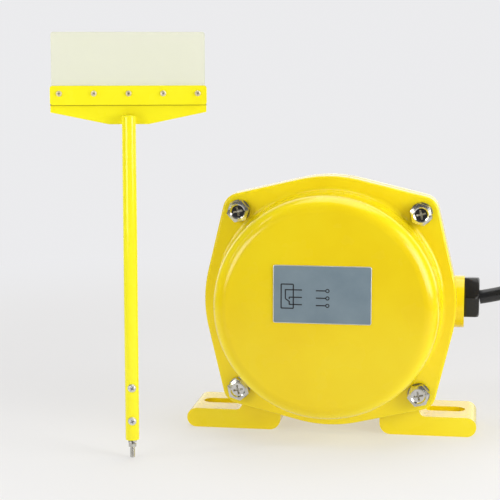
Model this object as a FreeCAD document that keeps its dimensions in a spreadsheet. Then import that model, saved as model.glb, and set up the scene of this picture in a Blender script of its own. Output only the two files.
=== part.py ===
import FreeCAD, Part
import math
import os
import re
import Sketcher

doc = FreeCAD.newDocument("flow_switch")
sheet = doc.addObject("Spreadsheet::Sheet", "dims")

# Driving dimensions, in millimetres and degrees
sizes = {
    # feet and casing
    "feet_span": 180, "foot_gap": 61.6, "foot_thickness": 12, "foot_depth": 44, "foot_toe": 7,
    "slot_width": 12, "slot_length": 26, "slot_spacing": 140, "web_width": 24.2, "web_fillet": 4,
    "web_core_wall": 6.5, "axis_height": 83.5, "flange_radius": 76.7, "lobe_radius": 10.5,
    "screw_pitch": 110, "casing_flange": 9, "drum_radius": 71, "drum_draft": 1.5, "drum_edge": 4,
    "casing_depth": 60, "casing_wall": 5, "lobe_depth": 26, "lobe_step": 3.5,
    "hub_radius": 18, "hub_outside": 12,
    "hub_inside": 8, "hub_draft": 0.6, "pin_floor": 2, "boss_radius": 16.1, "boss_reach": 81,
    "boss_root": 66.5, "boss_drop": 3, "tap_depth": 22, "flange_edge": 1.5,
    # cover and its fastening
    "gasket_thickness": 1.5, "cover_flange": 8, "dome_radius": 68, "dome_draft": 1.2, "dome_height": 31,
    "dome_edge": 9, "dome_foot": 2.5, "cover_wall": 4.5, "screw_size": 8, "screw_hole_gap": 0.5,
    "screw_flats": 12, "screw_head": 5.3, "screw_length": 28, "screw_dish": 4.2, "screw_dish_depth": 0.9,
    "cross_length": 6.4, "cross_width": 1.5, "cross_depth": 1.6, "spring_washer_radius": 6.7,
    "spring_washer_thickness": 2.1, "spring_washer_split": 1.2, "washer_gap": 0.2, "thread_gap": 0.1,
    "gasket_inset": 0.4,
    "plate_width": 58, "plate_height": 34.5, "plate_thickness": 0.8, "plate_corner": 1.2,
    "plate_shift": -1, "plate_rise": 9.6,
    # shaft and its bearings
    "shaft_size": 12, "shaft_front": 8, "shaft_gap": 0.03, "bush_radius": 8, "bush_flange": 10.5,
    "bush_rim": 2, "bush_length": 9, "fit_gap": 0.05, "seal_radius": 11, "seal_width": 4, "seal_gap": 0.06,
    "seal_lip": 1.4, "seal_lip_rise": 1.2, "shaft_chamfer": 0.6,
    "collar_radius": 9, "collar_width": 2.5, "collar_gap": 0.5, "shaft_flats": 9, "shaft_thread": 8,
    "shaft_thread_length": 11, "ring_groove": 0.5, "ring_radius": 8.5, "ring_thickness": 1.1,
    "ring_gap": 0.4, "ring_split": 3, "ring_side_gap": 0.03,
    # lever behind the casing
    "lever_width": 40, "lever_thickness": 4, "lever_rise": 62, "lever_tab": 28, "lever_bend": 2,
    "lever_socket": 17, "stud_size": 3, "stud_gap": 0.1, "stud_root": 2.2, "stud_chamfer": 0.4,
    "seat_gap": 0.3, "washer_radius": 8, "washer_thickness": 1.6, "nut_height": 6.5,
    # cam, spring and stop
    "cam_radius": 20, "cam_throw": 2.5, "cam_phase": 60, "cam_width": 10, "cam_front": 1,
    "cam_hub_radius": 11, "cam_hub": 6, "swing_range": 60, "stop_radius": 13, "stop_pin_size": 4,
    "stop_gap": 0.3, "stop_start": 0.5, "set_screw_size": 4, "set_screw_length": 4.4, "spring_wire": 1.6,
    "spring_radius": 9, "spring_pitch": 1.9, "spring_turns": 4, "spring_start": 11.2, "spring_leg": 13.5,
    "pin_size": 2.4, "pin_out": 12,
    # micro switch
    "roller_radius": 4, "roller_width": 6, "roller_gap": 0.25, "roller_axle": 2, "fork_width": 7,
    "fork_cheek": 1.4, "fork_play": 0.2, "fork_floor_gap": 0.5, "fork_drop": 6.5, "stem_size": 4.2,
    "stem_length": 10.5, "switch_width": 40, "switch_height": 16, "switch_thickness": 14,
    "switch_top": 33.5, "switch_front": 3, "switch_collar": 5,
    "switch_collar_height": 1, "switch_pitch": 26, "switch_hole_drop": 12, "switch_screw": 3,
    "switch_screw_grip": 12, "post_radius": 4.5, "tab_pitch": 12, "tab_width": 5, "tab_length": 6,
    "tab_thickness": 0.8, "bore_gap": 0.1, "post_tap_rest": 1, "stem_floor": 1,
    # gland and cable
    "gland_bore": 10, "gland_depth": 12, "gland_washer_thickness": 1.5, "gland_seal_length": 7,
    "gland_flats": 24, "gland_turn": -6, "gland_head": 9.2, "gland_edge": 1.6, "cable_size": 8.5,
    "cable_inner_end": 58,
    "core_size": 2, "core_ring": 2.2, "cable_gap": 0.4, "gland_play": 0.2, "core_run": 12, "core_spread": 3,
    "core_drop_x": 41, "core_drop": 31.5, "core_low_x": 20.5, "core_layer": 14, "core_layer_step": 3,
    # coil of the free cable
    "coil_radius": 46, "coil_turns": 2.75, "coil_pitch": 8.7, "coil_lift": 1.3, "coil_x": 234,
    "tail_length": 36, "tie_width": 4.8, "tie_thickness": 1.2, "tie_play": 0.8, "coil_play": 0.05,
    "end_core_length": 26, "end_tip_length": 6, "end_tip_size": 1.2,
    # paddle arm
    "arm_x": -107.9, "arm_y": -95.5, "arm_yaw": 13.4, "arm_height": 245.4, "tube_size": 8, "tube_wall": 1,
    "tube_foot": 10.8, "tube_top": 198.9, "plug_length": 42, "plug_gap": 0.05, "arm_nut_flats": 4.5,
    "arm_nut_height": 2.2, "arm_washer_radius": 2.6, "arm_washer_thickness": 2.2, "arm_washer_split": 0.7,
    "arm_screw_low": 22.5, "arm_screw_high": 42, "arm_screw_size": 2.5, "arm_screw_head": 4.9,
    "arm_screw_rise": 1.7,
    "arm_screw_length": 6.2, "arm_screw_sink": 0.4, "arm_seat_gap": 0.05, "head_width": 88.2, "head_low": 193.5,
    "head_shoulder": 200.3, "head_foot": 22.5, "head_top": 215.4, "head_plate": 2, "strip_height": 10.8,
    "strip_thickness": 2, "paddle_width": 86.4, "paddle_thickness": 2, "paddle_lap": 9, "clamp_pitch": 19.5,
    "clamp_height": 211, "clamp_size": 2,
    "clamp_head": 3.4, "clamp_head_rise": 1.3, "clamp_nut_flats": 4, "clamp_nut_height": 1.6,
    "clamp_tail": 0.6, "sheet_corner": 1.5,
}
for row, (alias, number) in enumerate(sizes.items(), start=1):
    sheet.set(f"A{row}", alias)
    sheet.set(f"B{row}", str(number))
    sheet.setAlias(f"B{row}", alias)
doc.recompute()

nodes = []


def cells(text):
    return re.sub(r"[a-z]\w*", lambda m: "dims." + m.group(0) if m.group(0) in sizes else m.group(0), text)


def value(text):
    return float(sheet.evalExpression(cells(text)))


def origin_of(body, role):
    return next(f for f in body.Origin.OriginFeatures if f.Role == role)


# A sub-part whose own Z axis points up, to the front, to the rear or to the right
def new_body(label, x="0", y="0", z="0", way="up", yaw=0.0):
    body = doc.addObject("PartDesign::Body", label)
    body.Label = label
    body.AllowCompound = True
    turns = {
        "up": FreeCAD.Rotation(FreeCAD.Vector(0, 0, 1), yaw),
        "front": FreeCAD.Rotation(FreeCAD.Vector(1, 0, 0), 90),
        "rear": FreeCAD.Rotation(FreeCAD.Vector(1, 0, 0), -90),
        "right": FreeCAD.Rotation(FreeCAD.Vector(0, 1, 0), 90),
    }
    body.Placement = FreeCAD.Placement(FreeCAD.Vector(value(x), value(y), value(z)), turns[way])
    for axis, text in zip("xyz", (x, y, z)):
        body.setExpression(f"Placement.Base.{axis}", cells(text))
    nodes.append(body)
    return body


def new_sketch(body, name, plane="XY_Plane", lift="0"):
    sketch = body.newObject("Sketcher::SketchObject", name)
    sketch.AttachmentSupport = [(origin_of(body, plane), "")]
    sketch.MapMode = "FlatFace"
    if lift != "0":
        sketch.AttachmentOffset = FreeCAD.Placement(FreeCAD.Vector(0, 0, value(lift)), FreeCAD.Rotation())
        sketch.setExpression("AttachmentOffset.Base.z", cells(lift))
    return sketch


def drive(sketch, kind, where, text):
    index = sketch.addConstraint(Sketcher.Constraint(kind, *where, value(text)))
    if re.search(r"[a-z]", text):
        sketch.setExpression(f"Constraints[{index}]", cells(text))


def circle(sketch, x, y, radius):
    spot = FreeCAD.Vector(value(x), value(y), 0)
    index = sketch.addGeometry(Part.Circle(spot, FreeCAD.Vector(0, 0, 1), value(radius)))
    drive(sketch, "DistanceX", (-1, 1, index, 3), x)
    drive(sketch, "DistanceY", (-1, 1, index, 3), y)
    drive(sketch, "Radius", (index,), radius)


# A closed outline; a corner with a radius starts an arc that bends left, or right where the radius has a minus
def outline(sketch, corners):
    spots = [FreeCAD.Vector(value(c[0]), value(c[1]), 0) for c in corners]
    count = len(corners)
    ends = []
    for i, corner in enumerate(corners):
        start = spots[i]
        stop = spots[(i + 1) % count]
        if len(corner) == 2:
            index = sketch.addGeometry(Part.LineSegment(start, stop))
            ends.append((index, 1, 2))
            continue
        right = corner[2].startswith("-")
        radius = value(corner[2].lstrip("-"))
        chord = stop - start
        off = math.sqrt(max(radius**2 - chord.Length**2 / 4, 0.0))
        side = FreeCAD.Vector(-chord.y, chord.x, 0).normalize() * (-off if right else off)
        centre = (start + stop) * 0.5 + side
        a, b = (stop, start) if right else (start, stop)
        first = math.atan2(a.y - centre.y, a.x - centre.x)
        last = math.atan2(b.y - centre.y, b.x - centre.x)
        last += 2 * math.pi if last < first else 0
        ring = Part.Circle(centre, FreeCAD.Vector(0, 0, 1), radius)
        index = sketch.addGeometry(Part.ArcOfCircle(ring, first, last))
        ends.append((index, 2, 1) if right else (index, 1, 2))
        drive(sketch, "Radius", (index,), corner[2].lstrip("-"))
    for i, (x, y, *_) in enumerate(corners):
        here = ends[i]
        after = ends[(i + 1) % count]
        sketch.addConstraint(Sketcher.Constraint("Coincident", here[0], here[2], after[0], after[1]))
        drive(sketch, "DistanceX", (-1, 1, here[0], here[1]), x)
        drive(sketch, "DistanceY", (-1, 1, here[0], here[1]), y)


def box_outline(x0, x1, y0, y1):
    return [(x0, y0), (x1, y0), (x1, y1), (x0, y1)]


def rounded(x, y, half_x, half_y, corner):
    left, right = f"({x}) - ({half_x})", f"({x}) + ({half_x})"
    low, high = f"({y}) - ({half_y})", f"({y}) + ({half_y})"
    return [
        (f"{left} + {corner}", low), (f"{right} - {corner}", low, corner), (right, f"{low} + {corner}"),
        (right, f"{high} - {corner}", corner), (f"{right} - {corner}", high),
        (f"{left} + {corner}", high, corner), (left, f"{high} - {corner}"), (left, f"{low} + {corner}", corner),
    ]


def hexagon(flats, x="0", y="0", turn="0"):
    turns = [f"({a} + {turn})" for a in range(30, 390, 60)]
    reach = f"{flats} / sqrt(3)"
    return [(f"{x} + {reach} * cos({a})", f"{y} + {reach} * sin({a})") for a in turns]


def feature(body, kind, sketch, **settings):
    made = body.newObject("PartDesign::" + kind, sketch.Name + "_" + kind.lower())
    made.Profile = sketch
    sketch.Visibility = False
    for key, setting in settings.items():
        if isinstance(setting, str) and key == "Length":
            made.Length = value(setting)
            made.setExpression("Length", cells(setting))
        else:
            setattr(made, key, setting)
    return made


def pad(body, sketch, length, back=False):
    return feature(body, "Pad", sketch, Length=length, Reversed=back)


def pocket(body, sketch, length, ahead=False):
    return feature(body, "Pocket", sketch, Length=length, Reversed=ahead)


# A turned piece: its half section has the radius across and the body's Z axis up
def turned(body, name, corners):
    sketch = new_sketch(body, name, "XZ_Plane")
    outline(sketch, corners)
    return feature(body, "Revolution", sketch, ReferenceAxis=(sketch, ["V_Axis"]), Angle=360)


def ring(body, name, inner, outer, low, high):
    return turned(body, name, box_outline(inner, outer, low, high))


def around(body, originals, count):
    made = body.newObject("PartDesign::PolarPattern", body.Name + "_around")
    made.Originals = originals
    made.Axis = (origin_of(body, "Z_Axis"), [""])
    made.Angle = 360
    made.Occurrences = count
    body.Tip = made


def along_x(body, originals, length, count):
    made = body.newObject("PartDesign::LinearPattern", body.Name + "_row")
    made.Originals = originals
    made.Direction = (origin_of(body, "X_Axis"), [""])
    made.Length = value(length)
    made.setExpression("Length", cells(length))
    made.Occurrences = count
    body.Tip = made


def mirrored(body, originals):
    made = body.newObject("PartDesign::Mirrored", originals[0].Name + "_mirror")
    made.Originals = originals
    made.MirrorPlane = (origin_of(body, "YZ_Plane"), [""])
    body.Tip = made


# Flange outline: a circle joined to a lobe round each corner screw by common tangents
def flange_outline(inset="0"):
    big = f"(flange_radius - {inset})"
    lobe = f"(lobe_radius - {inset})"
    lean = "((flange_radius - lobe_radius) * sqrt(2) / screw_pitch)"
    near = f"(({lean} + sqrt(1 - {lean}^2)) / sqrt(2))"
    far = f"(({lean} - sqrt(1 - {lean}^2)) / sqrt(2))"
    quarter = [
        (f"{big} * {near}", f"{big} * {far}", None),
        (f"(screw_pitch / 2 + {lobe} * {near})", f"(screw_pitch / 2 + {lobe} * {far})", lobe),
        (f"(screw_pitch / 2 + {lobe} * {far})", f"(screw_pitch / 2 + {lobe} * {near})", None),
        (f"{big} * {far}", f"{big} * {near}", big),
    ]
    corners = []
    for x_sign, y_sign in ((1, 1), (-1, 1), (-1, -1), (1, -1)):
        swap = x_sign * y_sign < 0
        for x, y, bend in quarter:
            a, b = (y, x) if swap else (x, y)
            spot = ("-" * (x_sign < 0) + a, "-" * (y_sign < 0) + b)
            corners.append(spot + (bend,) if bend else spot)
    return corners


def corner_circles(sketch, radius):
    for x_sign in ("", "-"):
        for y_sign in ("", "-"):
            circle(sketch, x_sign + "screw_pitch / 2", y_sign + "screw_pitch / 2", radius)


# A round bar along straight runs joined by tangent arcs
def bent_bar(label, points, radius):
    spots = [FreeCAD.Vector(*p) for p in points]
    edges = []
    start = spots[0]
    length = 0.0
    smallest = math.inf
    for before, here, after in zip(spots, spots[1:], spots[2:]):
        run_in = (here - before).normalize()
        run_out = (after - here).normalize()
        turn = run_in.getAngle(run_out)
        back_off = 0.45 * min(here.distanceToPoint(before), here.distanceToPoint(after))
        bend = back_off / math.tan(turn / 2)
        arc_start = here - run_in * back_off
        arc_stop = here + run_out * back_off
        middle_way = (run_out - run_in).normalize()
        centre = here + middle_way * math.hypot(back_off, bend)
        edges.append(Part.makeLine(start, arc_start))
        edges.append(Part.Arc(arc_start, centre - middle_way * bend, arc_stop).toShape())
        length += start.distanceToPoint(arc_start) + bend * turn
        smallest = min(smallest, bend)
        start = arc_stop
    edges.append(Part.makeLine(start, spots[-1]))
    length += start.distanceToPoint(spots[-1])
    profile = Part.Wire(Part.makeCircle(radius, spots[0], spots[1] - spots[0]))
    solid = Part.Wire(edges).makePipeShell([profile], True, False)
    made = doc.addObject("Part::Feature", label)
    made.Label = label
    made.Shape = solid
    nodes.append(made)
    share = solid.Volume / (math.pi * radius**2 * length)
    print(f"{label}: length {length:.1f}, least bend radius {smallest:.1f}, share filled {share:.4f}")
    return length


# Rounds a flange's outer edge at the given depth
def round_rim(body, depth):
    doc.recompute()
    base = body.Tip
    hole = value("lobe_radius") - 1
    reach = value("flange_radius") - 1
    picked = []
    for number, edge in enumerate(base.Shape.Edges, start=1):
        spots = edge.discretize(3)
        level = all(abs(p.z - value(depth)) < 0.01 for p in spots)
        small = isinstance(edge.Curve, Part.Circle) and edge.Curve.Radius < hole
        if level and not small and min(math.hypot(p.x, p.y) for p in spots) > reach:
            picked.append(f"Edge{number}")
    made = body.newObject("PartDesign::Fillet", body.Name + "_rim")
    made.Base = (base, picked)
    made.Radius = value("flange_edge")
    made.setExpression("Radius", cells("flange_edge"))


# Depths along the shaft, measured rearwards from the slot line
front_plane = "-foot_depth / 2"
cover_plane = "(-foot_depth / 2 - gasket_thickness)"
dome_plane = "(-foot_depth / 2 - gasket_thickness - cover_flange - dome_height)"
hub_front = "(casing_depth - casing_wall - hub_inside - foot_depth / 2)"
hub_rear = "(casing_depth + hub_outside - foot_depth / 2)"
seal_seat = f"({hub_rear} - seal_width - bush_rim)"
collar_rear = f"({hub_rear} + collar_gap + collar_width)"
ring_front = f"({hub_front} - bush_rim - ring_gap - ring_thickness)"

# Casing: drum with hub, front flange, corner bosses, feet, gland boss and switch posts
casing = new_body("casing", "0", front_plane, "axis_height", "front")
hub_top = "-(casing_depth - casing_wall - hub_inside)"
turned(casing, "casing_drum", [
    ("drum_radius - casing_wall", "0"), ("drum_radius", "0"),
    ("drum_radius - drum_draft", "-(casing_depth - drum_edge)", "-drum_edge"),
    ("drum_radius - drum_draft - drum_edge", "-casing_depth"), ("hub_radius", "-casing_depth"),
    ("hub_radius - hub_draft", "-(casing_depth + hub_outside)"),
    ("seal_radius", "-(casing_depth + hub_outside)"),
    ("seal_radius", "-(casing_depth + hub_outside - seal_width - bush_rim)"),
    ("bush_radius", "-(casing_depth + hub_outside - seal_width - bush_rim)"), ("bush_radius", hub_top),
    ("hub_radius - hub_draft", hub_top), ("hub_radius", "-(casing_depth - casing_wall)"),
    ("drum_radius - casing_wall - drum_draft", "-(casing_depth - casing_wall)"),
])
sketch = new_sketch(casing, "casing_front")
outline(sketch, flange_outline())
circle(sketch, "0", "0", "drum_radius - casing_wall")
pad(casing, sketch, "casing_flange", back=True)
round_rim(casing, "-casing_flange")
sketch = new_sketch(casing, "casing_lobes")
corner_circles(sketch, "lobe_radius - lobe_step")
pad(casing, sketch, "lobe_depth", back=True)
sketch = new_sketch(casing, "casing_feet")
floor = "-axis_height"
web_top = "(drum_radius - casing_wall / 2)"
inner = "foot_gap / 2"
web_side = "(foot_gap / 2 + web_width)"
outline(sketch, [
    (f"{inner} + foot_toe", floor), ("feet_span / 2 - foot_thickness / 2", floor, "foot_thickness / 2"),
    ("feet_span / 2", f"{floor} + foot_thickness / 2", "foot_thickness / 2"),
    ("feet_span / 2 - foot_thickness / 2", f"{floor} + foot_thickness"),
    (f"{web_side} + web_fillet", f"{floor} + foot_thickness", "-web_fillet"),
    (web_side, f"{floor} + foot_thickness + web_fillet"),
    (web_side, f"-sqrt({web_top}^2 - {web_side}^2)", f"-{web_top}"),
    (inner, f"-sqrt({web_top}^2 - ({inner})^2)"), (inner, f"{floor} + foot_toe", "foot_toe"),
])
foot = pad(casing, sketch, "foot_depth", back=True)
mirrored(casing, [foot])
sketch = new_sketch(casing, "casing_web_cores", lift="-foot_depth")
outline(sketch, box_outline(
    f"{inner} + web_core_wall", f"{web_side} - web_core_wall", f"{floor} + foot_thickness + web_core_wall",
    f"-sqrt((drum_radius + web_core_wall)^2 - {web_side}^2)",
))
core = pocket(casing, sketch, "foot_depth - web_core_wall", ahead=True)
mirrored(casing, [core])
sketch = new_sketch(casing, "casing_slots", "XZ_Plane", "axis_height - foot_thickness")
outline(sketch, rounded(
    "slot_spacing / 2", "-foot_depth / 2", "slot_length / 2", "slot_width / 2", "(slot_width / 2 - 0.001)"
))
slot = pocket(casing, sketch, "foot_thickness", ahead=True)
mirrored(casing, [slot])
sketch = new_sketch(casing, "casing_boss", "YZ_Plane", "boss_root")
circle(sketch, "-boss_drop", "-foot_depth / 2", "boss_radius")
pad(casing, sketch, "boss_reach - boss_root")
sketch = new_sketch(casing, "casing_gland_bore", "YZ_Plane", "boss_reach")
circle(sketch, "0", "-foot_depth / 2", "gland_bore")
pocket(casing, sketch, "gland_depth")
sketch = new_sketch(casing, "casing_cable_hole", "YZ_Plane", "boss_reach")
circle(sketch, "0", "-foot_depth / 2", "cable_size / 2 + cable_gap")
pocket(casing, sketch, "boss_reach - cable_inner_end")
sketch = new_sketch(casing, "casing_taps")
corner_circles(sketch, "screw_size / 2 + thread_gap")
pocket(casing, sketch, "tap_depth")
sketch = new_sketch(casing, "casing_posts", lift="-(casing_depth - casing_wall)")
post_y = "-(switch_top + switch_hole_drop)"
switch_back = "(switch_thickness - switch_front)"
post_length = f"(casing_depth - casing_wall - foot_depth / 2 - {switch_back})"
for sign in ("", "-"):
    circle(sketch, sign + "switch_pitch / 2", post_y, "post_radius")
pad(casing, sketch, post_length)
sketch = new_sketch(casing, "casing_post_taps", lift=f"-({switch_back} + foot_depth / 2)")
for sign in ("", "-"):
    circle(sketch, sign + "switch_pitch / 2", post_y, "switch_screw / 2 + thread_gap")
pocket(casing, sketch, "switch_screw_grip + post_tap_rest")
anchor_x = "(spring_radius - spring_wire / 2 - pin_size / 2)"
sketch = new_sketch(casing, "casing_pin_holes", lift=hub_top)
circle(sketch, "0", "stop_radius", "stop_pin_size / 2 + fit_gap")
circle(sketch, anchor_x, "-pin_out", "pin_size / 2 + fit_gap")
pocket(casing, sketch, "hub_inside - pin_floor")

# Cover: flange ring with the dome turned on it
cover = new_body("cover", "0", cover_plane, "axis_height", "front")
face = "(cover_flange + dome_height)"
rim = "(dome_radius - dome_draft)"
turned(cover, "cover_dome", [
    ("dome_radius - cover_wall", "0"), ("dome_radius + dome_foot", "0"),
    ("dome_radius + dome_foot", "cover_flange", "-dome_foot"), ("dome_radius", "cover_flange + dome_foot"),
    (rim, f"{face} - dome_edge", "dome_edge"), (f"{rim} - dome_edge", face), ("0", face),
    ("0", f"{face} - cover_wall"), (f"{rim} - dome_edge", f"{face} - cover_wall", "-(dome_edge - cover_wall)"),
    (f"{rim} - cover_wall", f"{face} - dome_edge"),
])
sketch = new_sketch(cover, "cover_rim")
outline(sketch, flange_outline())
circle(sketch, "0", "0", "dome_radius - cover_wall + 1")
corner_circles(sketch, "screw_size / 2 + screw_hole_gap")
pad(cover, sketch, "cover_flange")

round_rim(cover, "cover_flange")

gasket = new_body("cover_gasket", "0", front_plane, "axis_height", "front")
sketch = new_sketch(gasket, "gasket_sheet")
outline(sketch, flange_outline("gasket_inset"))
circle(sketch, "0", "0", "drum_radius - casing_wall")
corner_circles(sketch, "screw_size / 2 + screw_hole_gap")
pad(gasket, sketch, "gasket_thickness")

# Cover screws and their split washers, one at the upper right and the others turned round the axis
corner = "screw_pitch / 2"
flange_front = "(-foot_depth / 2 - gasket_thickness - cover_flange)"
washers = new_body("cover_spring_washers", "0", flange_front, "axis_height", "front")
sketch = new_sketch(washers, "spring_washer_ring")
circle(sketch, corner, corner, "spring_washer_radius")
circle(sketch, corner, corner, "screw_size / 2 + washer_gap")
washer_ring = pad(washers, sketch, "spring_washer_thickness")
sketch = new_sketch(washers, "spring_washer_split", lift="spring_washer_thickness")
outline(sketch, box_outline(
    corner, f"{corner} + 2 * spring_washer_radius", f"{corner} - spring_washer_split / 2",
    f"{corner} + spring_washer_split / 2",
))
washer_split = pocket(washers, sketch, "spring_washer_thickness")
around(washers, [washer_ring, washer_split], 4)

screws = new_body("cover_screws", "0", f"{flange_front} - spring_washer_thickness", "axis_height", "front")
sketch = new_sketch(screws, "cover_screw_head")
outline(sketch, hexagon("screw_flats", corner, corner))
screw_head = pad(screws, sketch, "screw_head")
sketch = new_sketch(screws, "cover_screw_shank")
circle(sketch, corner, corner, "screw_size / 2")
screw_shank = pad(screws, sketch, "screw_length", back=True)
sketch = new_sketch(screws, "cover_screw_dish", lift="screw_head")
circle(sketch, corner, corner, "screw_dish")
screw_dish = pocket(screws, sketch, "screw_dish_depth")
sketch = new_sketch(screws, "cover_screw_cross", lift="screw_head - screw_dish_depth")
arm, half = "cross_length / 2", "cross_width / 2"
outline(sketch, [
    (f"{corner} {x} {a}", f"{corner} {y} {b}") for x, a, y, b in (
        ("-", arm, "-", half), ("-", half, "-", half), ("-", half, "-", arm), ("+", half, "-", arm),
        ("+", half, "-", half), ("+", arm, "-", half), ("+", arm, "+", half), ("+", half, "+", half),
        ("+", half, "+", arm), ("-", half, "+", arm), ("-", half, "+", half), ("-", arm, "+", half),
    )
])
screw_cross = pocket(screws, sketch, "cross_depth")
around(screws, [screw_head, screw_shank, screw_dish, screw_cross], 4)

plate = new_body("nameplate", "0", dome_plane, "axis_height", "front")
sketch = new_sketch(plate, "nameplate_sheet")
outline(sketch, rounded("plate_shift", "plate_rise", "plate_width / 2", "plate_height / 2", "plate_corner"))
pad(plate, sketch, "plate_thickness")

# Shaft, bushes, seal and retaining ring
bore = "shaft_size / 2 + shaft_gap"
for label, flange_at, away in (("front_bush", hub_front, "-1"), ("rear_bush", seal_seat, "1")):
    bush = new_body(label, "0", flange_at, "axis_height", "rear")
    flip = "" if away == "1" else "-"
    turned(bush, label + "_section", [
        (bore, f"{flip}bush_rim"), ("bush_flange", f"{flip}bush_rim"), ("bush_flange", "0"),
        ("bush_radius - fit_gap", "0"), ("bush_radius - fit_gap", f"-bush_length * {away}"),
        (bore, f"-bush_length * {away}"),
    ])
seal = new_body("shaft_seal", "0", f"{seal_seat} + bush_rim", "axis_height", "rear")
turned(seal, "shaft_seal_section", [
    ("shaft_size / 2 + seal_gap", "seal_width - seal_lip_rise"), ("shaft_size / 2 + seal_lip", "0"),
    ("seal_radius - fit_gap", "0"), ("seal_radius - fit_gap", "seal_width"),
    ("shaft_size / 2 + seal_lip", "seal_width"),
    ("shaft_size / 2 + seal_gap", "seal_width - seal_lip_rise / 2"),
])
shaft = new_body("shaft", "0", "0", "axis_height", "rear")
journal = "shaft_size / 2"
lever_rear = f"({collar_rear} + lever_thickness)"
shaft_end = f"({lever_rear} + shaft_thread_length)"
turned(shaft, "shaft_section", [
    ("0", "-shaft_front"), (f"{journal} - shaft_chamfer", "-shaft_front"),
    (journal, "-shaft_front + shaft_chamfer"), (journal, ring_front), (f"{journal} - ring_groove", ring_front),
    (f"{journal} - ring_groove", f"{ring_front} + ring_thickness"), (journal, f"{ring_front} + ring_thickness"),
    (journal, f"{collar_rear} - collar_width"), ("collar_radius", f"{collar_rear} - collar_width"),
    ("collar_radius", collar_rear), (journal, collar_rear), (journal, lever_rear),
    ("shaft_thread / 2", lever_rear), ("shaft_thread / 2", f"{shaft_end} - shaft_chamfer"),
    ("shaft_thread / 2 - shaft_chamfer", shaft_end), ("0", shaft_end),
])
sketch = new_sketch(shaft, "shaft_flats_cut", lift=collar_rear)
for sign in ("", "-"):
    near, away = f"{sign}(shaft_flats / 2)", f"{sign}(shaft_size / 2 + 1)"
    outline(sketch, box_outline(near, away, "-shaft_size", "shaft_size"))
pocket(shaft, sketch, "lever_thickness", ahead=True)
snap = new_body("shaft_ring", "0", ring_front, "axis_height", "rear")
ring(snap, "shaft_ring_section", f"{journal} - ring_groove + fit_gap", "ring_radius", "ring_side_gap",
     "ring_thickness - ring_side_gap")
sketch = new_sketch(snap, "shaft_ring_split", lift="ring_thickness")
outline(sketch, box_outline("-ring_split / 2", "ring_split / 2", "-ring_radius - 1", "0"))
pocket(snap, sketch, "ring_thickness")

# Lever: bent plate on the shaft's flats, with a threaded socket in its tab
lever = new_body("swing_lever", "0", collar_rear, "axis_height", "front")
bend_out = "(lever_bend + lever_thickness)"
sketch = new_sketch(lever, "lever_strip", "YZ_Plane", "-lever_width / 2")
outline(sketch, [
    ("-lever_width / 2", "-lever_thickness"), (f"lever_rise - {bend_out}", "-lever_thickness", "-lever_bend"),
    ("lever_rise - lever_thickness", f"-{bend_out}"), ("lever_rise - lever_thickness", "-lever_tab"),
    ("lever_rise", "-lever_tab"), ("lever_rise", f"-{bend_out}", bend_out),
    (f"lever_rise - {bend_out}", "0"), ("-lever_width / 2", "0"),
])
pad(lever, sketch, "lever_width")
sketch = new_sketch(lever, "lever_round_end")
half = "lever_width / 2"
outline(sketch, [
    (f"-({half}) - 2", "0"), (f"-({half})", "0", half), ("0", f"-({half})", half), (half, "0"),
    (f"{half} + 2", "0"), (f"{half} + 2", f"-({half}) - 2"), (f"-({half}) - 2", f"-({half}) - 2"),
])
pocket(lever, sketch, "lever_thickness")
sketch = new_sketch(lever, "lever_shaft_hole")
flat, round_fit = "(shaft_flats / 2 + fit_gap)", "(shaft_size / 2 + fit_gap)"
top = f"sqrt({round_fit}^2 - {flat}^2)"
outline(sketch, [
    (flat, f"-{top}"), (flat, top, round_fit), (f"-{flat}", top), (f"-{flat}", f"-{top}", round_fit),
])
pocket(lever, sketch, "lever_thickness")
sketch = new_sketch(lever, "lever_socket_hole", "XZ_Plane", "-lever_rise")
circle(sketch, "0", "-lever_socket", "stud_size / 2 + stud_gap")
pocket(lever, sketch, "lever_thickness", ahead=True)
lever_washer = new_body("lever_washer", "0", lever_rear, "axis_height", "rear")
ring(lever_washer, "lever_washer_section", "shaft_thread / 2 + washer_gap", "washer_radius", "0",
     "washer_thickness")
lever_nut = new_body("lever_nut", "0", f"{lever_rear} + washer_thickness", "axis_height", "rear")
sketch = new_sketch(lever_nut, "lever_nut_section")
outline(sketch, hexagon("screw_flats"))
circle(sketch, "0", "0", "shaft_thread / 2 + thread_gap")
pad(lever_nut, sketch, "nut_height")

# Eccentric cam with the stop slot, its set screw and the two spring pins
cam = new_body("cam", "0", "-cam_front", "axis_height", "front")
sketch = new_sketch(cam, "cam_disc")
circle(sketch, "cam_throw * sin(cam_phase)", "cam_throw * cos(cam_phase)", "cam_radius")
pad(cam, sketch, "cam_width", back=True)
sketch = new_sketch(cam, "cam_hub_ring")
circle(sketch, "0", "0", "cam_hub_radius")
pad(cam, sketch, "cam_hub")
sketch = new_sketch(cam, "cam_bore", lift="cam_hub")
circle(sketch, "0", "0", f"{journal} + fit_gap")
pocket(cam, sketch, "cam_hub + cam_width")
sketch = new_sketch(cam, "cam_stop_slot")
reach = "(stop_pin_size / 2 + stop_gap)"
far_side, near_side = f"(stop_radius + {reach})", f"(stop_radius - {reach})"
swing_x, swing_y = "-sin(swing_range)", "cos(swing_range)"
outline(sketch, [
    ("0", near_side, reach), (reach, "stop_radius", reach), ("0", far_side, far_side),
    (f"{swing_x} * {far_side}", f"{swing_y} * {far_side}", reach),
    (f"{swing_x} * stop_radius - {swing_y} * {reach}", f"{swing_y} * stop_radius + {swing_x} * {reach}", reach),
    (f"{swing_x} * {near_side}", f"{swing_y} * {near_side}", f"-{near_side}"),
])
pocket(cam, sketch, "cam_width")
sketch = new_sketch(cam, "cam_screw_hole", "XZ_Plane", "-(cam_hub_radius + 1)")
circle(sketch, "0", "cam_hub / 2", "set_screw_size / 2 + fit_gap")
pocket(cam, sketch, "cam_hub_radius + 1 - shaft_size / 2", ahead=True)
sketch = new_sketch(cam, "cam_pin_hole", lift="-cam_width")
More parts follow.
